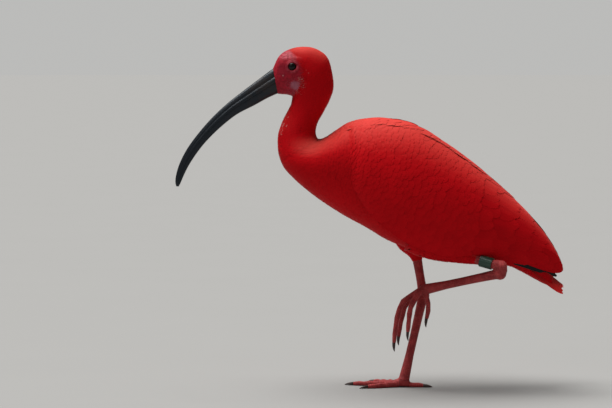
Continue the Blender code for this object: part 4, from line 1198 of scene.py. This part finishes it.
# Half outlines, from the mouth to the ridge: across and up, as shares of half width and of depth.
UPPER = (
    (0.90, -0.01), (0.98, 0.04), (1.0, 0.16), (0.95, 0.30), (0.80, 0.38), (0.70, 0.44), (0.74, 0.54),
    (0.68, 0.72), (0.48, 0.9), (0.22, 0.985), (0.0, 1.0),
)
LOWER = (
    (0.88, 0.01), (0.95, -0.05), (0.97, -0.2), (0.9, -0.45), (0.72, -0.72), (0.45, -0.93), (0.2, -0.99),
    (0.0, -1.0),
)


def bill_rings(half, steps, upper):
    rings = []
    fine = along_rows(half, np.linspace(0, len(half) - 1, 19))
    for n in range(steps + 1):
        t = (len(BILL) - 1) * n / steps
        culmen_x, culmen_z, low_x, low_z, wide = along_rows(BILL, np.array(t))
        culmen, low = np.array((culmen_x, 0, culmen_z)), np.array((low_x, 0, low_z))
        up, tall = unit(culmen - low), np.linalg.norm(culmen - low)
        mouth = culmen + (low - culmen) * MOUTH
        deep = tall * (MOUTH if upper else 1 - MOUTH)
        a, b = fine[:, 0].copy(), fine[:, 1]
        if upper:  # the groove grows shallow towards the tip
            smooth = np.sqrt(np.clip(1 - np.abs(b) ** 2.4, 0, 1))
            a = a + (smooth - a) * (0.25 + 0.6 * blend(0.55, 1.0, n / steps)) * (b > 0.2)
        half_ring = mouth + up * (b * deep)[:, None] + np.stack([0 * a, a * wide, 0 * a], -1)
        rings.append(np.vstack([half_ring, half_ring[::-1][1:] * (1, -1, 1)]) * MM)
    return rings


horn = Finish("dark_horn", Specular_IOR_Level=0.34, Specular_Tint=(0.72, 0.86, 1.0, 1.0))
x, _, _ = horn.axes(horn.place())
base = (x + 0.160).step(-0.03, 0.028)
turned = {"Vector": horn.place(), "Angle": -0.72}
stretch = horn.node("ShaderNodeVectorRotate", {"rotation_type": "Y_AXIS"}, turned)
stretch = horn.node("ShaderNodeVectorMath", {"operation": "MULTIPLY"}, {0: stretch, 1: (0.10, 1.0, 1.0)})
streak = horn.noise(900.0, 4.0, stretch)
cloud = horn.noise(90.0, 3.0)
horn_colour = horn.mix(streak, (0.004, 0.0048, 0.0062), (0.012, 0.014, 0.019))
horn_colour = horn.mix(base * cloud.step(0.35, 0.65) * 0.8, horn_colour, (0.030, 0.018, 0.012))
horn.feed(
    Base_Color=horn_colour,
    Roughness=0.24 + streak * 0.16 + cloud * 0.08,
    Normal=horn.bump(streak * 0.7 + cloud * 0.5, 0.0002, 0.55),
)
for word, half, upper in (("upper", UPPER, True), ("lower", LOWER, False)):
    bill = loft(f"bill_{word}_horn", bill_rings(half, 90, upper))
    bill.data.shade_smooth()
    bill.data.set_sharp_from_angle(angle=math.radians(50))
    settle(bill, horn, "dark_horn", f"bill_{word}")


# Eyes.
# A dark, wet eyeball set deep in the bare face on each side. A thin lid of the face's own skin
# closes round it, a little longer than it is high.
wet = Finish("dark_eye", Roughness=0.07, Specular_IOR_Level=0.22)
x, _, z = wet.axes(wet.place())
iris_ring = (((x - EYE_X * MM) ** 2 + (z - EYE_Z * MM) ** 2) ** 0.5) / MM
iris_noise = wet.noise(900.0, 3.0)
iris_colour = wet.mix(iris_noise, (0.004, 0.0018, 0.0014), (0.010, 0.004, 0.003))
wet.feed(Base_Color=wet.mix(iris_ring.step(1.9, 2.2), (0.002, 0.002, 0.002), iris_colour))
EYE_RADIUS, LID_RADIUS = 5.0, 4.55  # in mm
LID_OUT = 3.0  # how far the lid sits out from the middle of the eye, in mm
LID_LONG, LID_HIGH = 1.1, 0.93  # the lid's length and height as shares of a round one's
for word, side in (("left", 1), ("right", -1)):
    place = Vector((eye_place.x, eye_place.y * side, eye_place.z))
    work = bmesh.new()
    bmesh.ops.create_uvsphere(work, u_segments=48, v_segments=32, radius=EYE_RADIUS * MM)
    bmesh.ops.rotate(work, verts=work.verts, matrix=Matrix.Rotation(math.pi / 2, 3, "X"))
    bmesh.ops.translate(work, verts=work.verts, vec=place)
    mesh = mesh_of(work, f"{word}_eyeball")
    mesh.shade_smooth()
    settle(new_object(f"{word}_eyeball", mesh), wet, "dark_eye", f"{word}_eye")

    work = bmesh.new()
    profile = bmesh.ops.create_circle(work, cap_ends=False, segments=14, radius=1.0)["verts"]
    for vert in profile:  # the lid's section: rounded at the eye, thin at the skin
        across, deep = vert.co.x, vert.co.y
        vert.co = Vector((LID_RADIUS + across * 0.75, deep * 0.42 - across * 0.22, 0)) * MM
    ring = work.verts[:] + work.edges[:]
    bmesh.ops.spin(
        work, geom=ring, cent=(0, 0, 0), axis=(0, 1, 0), angle=2 * math.pi, steps=56, use_merge=True
    )
    bmesh.ops.remove_doubles(work, verts=work.verts, dist=1e-7)
    for vert in work.verts:
        vert.co.x *= LID_LONG
        vert.co.y *= side
        vert.co.z *= LID_HIGH
    sit = abs(eye_place.y) + LID_OUT * MM
    bmesh.ops.translate(work, verts=work.verts, vec=(EYE_X * MM, -side * sit, EYE_Z * MM))
    bmesh.ops.recalc_face_normals(work, faces=work.faces)
    mesh = mesh_of(work, f"{word}_lids")
    mesh.shade_smooth()
    settle(new_object(f"{word}_lids", mesh), skin_finish, "red_skin")


# Legs.
# Bare, scaly shins, shanks and feet. Each leg is one skin without a seam, from the feathers of the
# thigh to the roots of the claws, with small round scales and cross bands on top of the toes.
RAISED_JOINT, STANDING_JOINT = (0.0206, 0, 0.1007), (0.0, 0.0, 0.004)  # where the toes of each foot meet
SCUTE = 0.0021  # from one cross band on a toe to the next, in metres
SWELL, SHRINK, VOXEL = 0.35, 0.30, 0.6  # in mm, while the parts of a leg are made into one skin
HOCK, HOCK_RADIUS = Vector((97.3, -40.0, 124.6)), 6.5  # the fold between the knobs of the bent hock, in mm
leg_finish = Finish("leg_skin", Specular_IOR_Level=0.25)
leg_place = leg_finish.place()
scales = {"Vector": leg_place, "Scale": 700.0, "Randomness": 0.8}
cells = leg_finish.node("ShaderNodeTexVoronoi", {"feature": "DISTANCE_TO_EDGE"}, scales)
cell_tone = leg_finish.node("ShaderNodeTexVoronoi", {"feature": "F1"}, scales, "Color")
groove = cells.step(0.09, 0.01)
blotch = leg_finish.noise(120.0, 4.0)
leg_colour = leg_finish.mix(blotch.step(0.3, 0.7), (0.28, 0.016, 0.020), (0.50, 0.050, 0.052))
leg_colour = leg_finish.mix(leg_finish.axes(cell_tone)[0] * 0.3, leg_colour, (0.56, 0.11, 0.10))
to_raised, to_standing = (
    leg_finish.node("ShaderNodeVectorMath", {"operation": "DISTANCE"}, {0: leg_place, 1: joint}, "Value")
    for joint in (RAISED_JOINT, STANDING_JOINT)
)
height = leg_finish.axes(leg_place)[2]
raised_toes = (RAISED_JOINT[2] - height).step(0.004, 0.007) * (0.052 - to_raised).step(0.0, 0.004)
toe_share = (0.0105 - height).step(0.0, 0.002) + raised_toes
bands = to_raised.calculate("MINIMUM", to_standing) + (blotch - 0.5) * 0.0015
bands = (bands * (2 * math.pi / SCUTE)).calculate("SINE")
scute = (bands.step(0.99, 0.72) * toe_share).clamped()
# Painted shade: the grooves between the scales, and between the cross bands on the toes, are darkened towards
# a deep red brown.
crease_shade = (groove * 0.5 * (1 - toe_share * 0.6) + (1 - bands.step(0.99, 0.8)) * toe_share * 0.5).clamped()
relief = cells.step(0.0, 0.16) * (1 - toe_share * 0.6) + scute * 1.2 + blotch * 0.5
leg_finish.feed(
    Base_Color=leg_finish.mix(crease_shade, leg_colour, (0.10, 0.010, 0.014)),
    Roughness=0.42 + blotch * 0.2 + groove * 0.15,
    Normal=leg_finish.bump(relief, 0.00028, 0.9),
)
for word in ("left", "right"):
    nodes = [f"{word}_shin", f"{word}_tarsus", f"{word}_foot"]
    work = bmesh.new()
    for node in nodes:
        piece = bmesh.new()
        piece.from_mesh(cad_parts[node].data)
        bmesh.ops.remove_doubles(piece, verts=piece.verts, dist=1e-6)
        piece.normal_update()
        for vert in piece.verts:
            vert.co += vert.normal * SWELL * MM
        spare = mesh_of(piece, "spare")
        work.from_mesh(spare)
        bpy.data.meshes.remove(spare)
    if word == "left":
        ball = bmesh.ops.create_uvsphere(work, u_segments=24, v_segments=16, radius=HOCK_RADIUS * MM)["verts"]
        bmesh.ops.translate(work, verts=ball, vec=HOCK * MM)
    leg = new_object(f"{word}_leg_skin", mesh_of(work, f"{word}_leg"))
    remesh = leg.modifiers.new("remesh", "REMESH")
    remesh.mode, remesh.voxel_size = "VOXEL", VOXEL * MM
    carry_out(leg)
    work = bmesh.new()
    work.from_mesh(leg.data)
    for _ in range(6):
        bmesh.ops.smooth_vert(
            work, verts=work.verts, factor=0.5, use_axis_x=True, use_axis_y=True, use_axis_z=True
        )
    work.normal_update()
    for vert in work.verts:
        vert.co -= vert.normal * SHRINK * MM
        vert.co.z = max(vert.co.z, 0.0)
    work.to_mesh(leg.data)
    work.free()
    leg.data.shade_smooth()
    settle(leg, leg_finish, "leg_skin", *nodes)


# Claws.
# Short, blunt, curved claws of dark reddish horn, one at the end of each toe, with its wide end
# held in the toe's skin.
CLAW_REACH = 1.8  # how far a claw is carried back into its toe, in mm
claw_finish = Finish("claw_horn", Specular_IOR_Level=0.5)
claw_streak = claw_finish.noise(700.0, 4.0)
claw_finish.feed(
    Base_Color=claw_finish.mix(claw_streak, (0.016, 0.008, 0.007), (0.060, 0.024, 0.020)),
    Roughness=0.3 + claw_streak * 0.25,
    Normal=claw_finish.bump(claw_streak, 0.00015, 0.5),
)


def smooth_copy(node, name, finish, slot, reach=0.0, joint=None):
    """A smoothly shaded copy of a small solid, whose end at the joint may reach some mm further back."""
    work = bmesh.new()
    work.from_mesh(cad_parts[node].data)
    bmesh.ops.remove_doubles(work, verts=work.verts, dist=1e-6)
    if reach:
        tip = max(work.verts, key=lambda v: (v.co - joint).length).co.copy()
        wide = min(work.verts, key=lambda v: (v.co - joint).length).co
        ends = [v for v in work.verts if (v.co - wide).length < 0.45 * (wide - tip).length]
        back = (sum((v.co for v in ends), Vector()) / len(ends) - tip).normalized()
        furthest = max((v.co - tip).dot(back) for v in work.verts)
        for vert in work.verts:
            if (vert.co - tip).dot(back) > furthest - 1.2 * MM:
                vert.co += back * reach * MM
    bmesh.ops.recalc_face_normals(work, faces=work.faces)
    mesh = mesh_of(work, name)
    mesh.shade_smooth()
    mesh.set_sharp_from_angle(angle=math.radians(46))
    settle(new_object(name, mesh), finish, slot, node)


for word, joint in (("left", RAISED_JOINT), ("right", STANDING_JOINT)):
    for toe in ("inner", "middle", "outer", "hind"):
        node = f"{word}_{toe}_claw"
        smooth_copy(node, f"{node}_horn", claw_finish, "dark_horn", reach=CLAW_REACH, joint=Vector(joint))


# Leg band.
# A plain green plastic ring, closed round the left shin just above the hock. It is smooth, a
# little dulled by wear, and carries no mark.
band_finish = Finish("green_plastic", Specular_IOR_Level=0.5, Coat_Weight=0.2, Coat_Roughness=0.2)
band_wear = band_finish.noise(300.0, 4.0)
band_finish.feed(
    Base_Color=band_finish.mix(band_wear, (0.003, 0.026, 0.014), (0.007, 0.045, 0.024)),
    Roughness=0.28 + band_wear * 0.25,
    Normal=band_finish.bump(band_wear, 0.0001, 0.4),
)
smooth_copy("leg_band", "leg_ring", band_finish, "green_plastic")
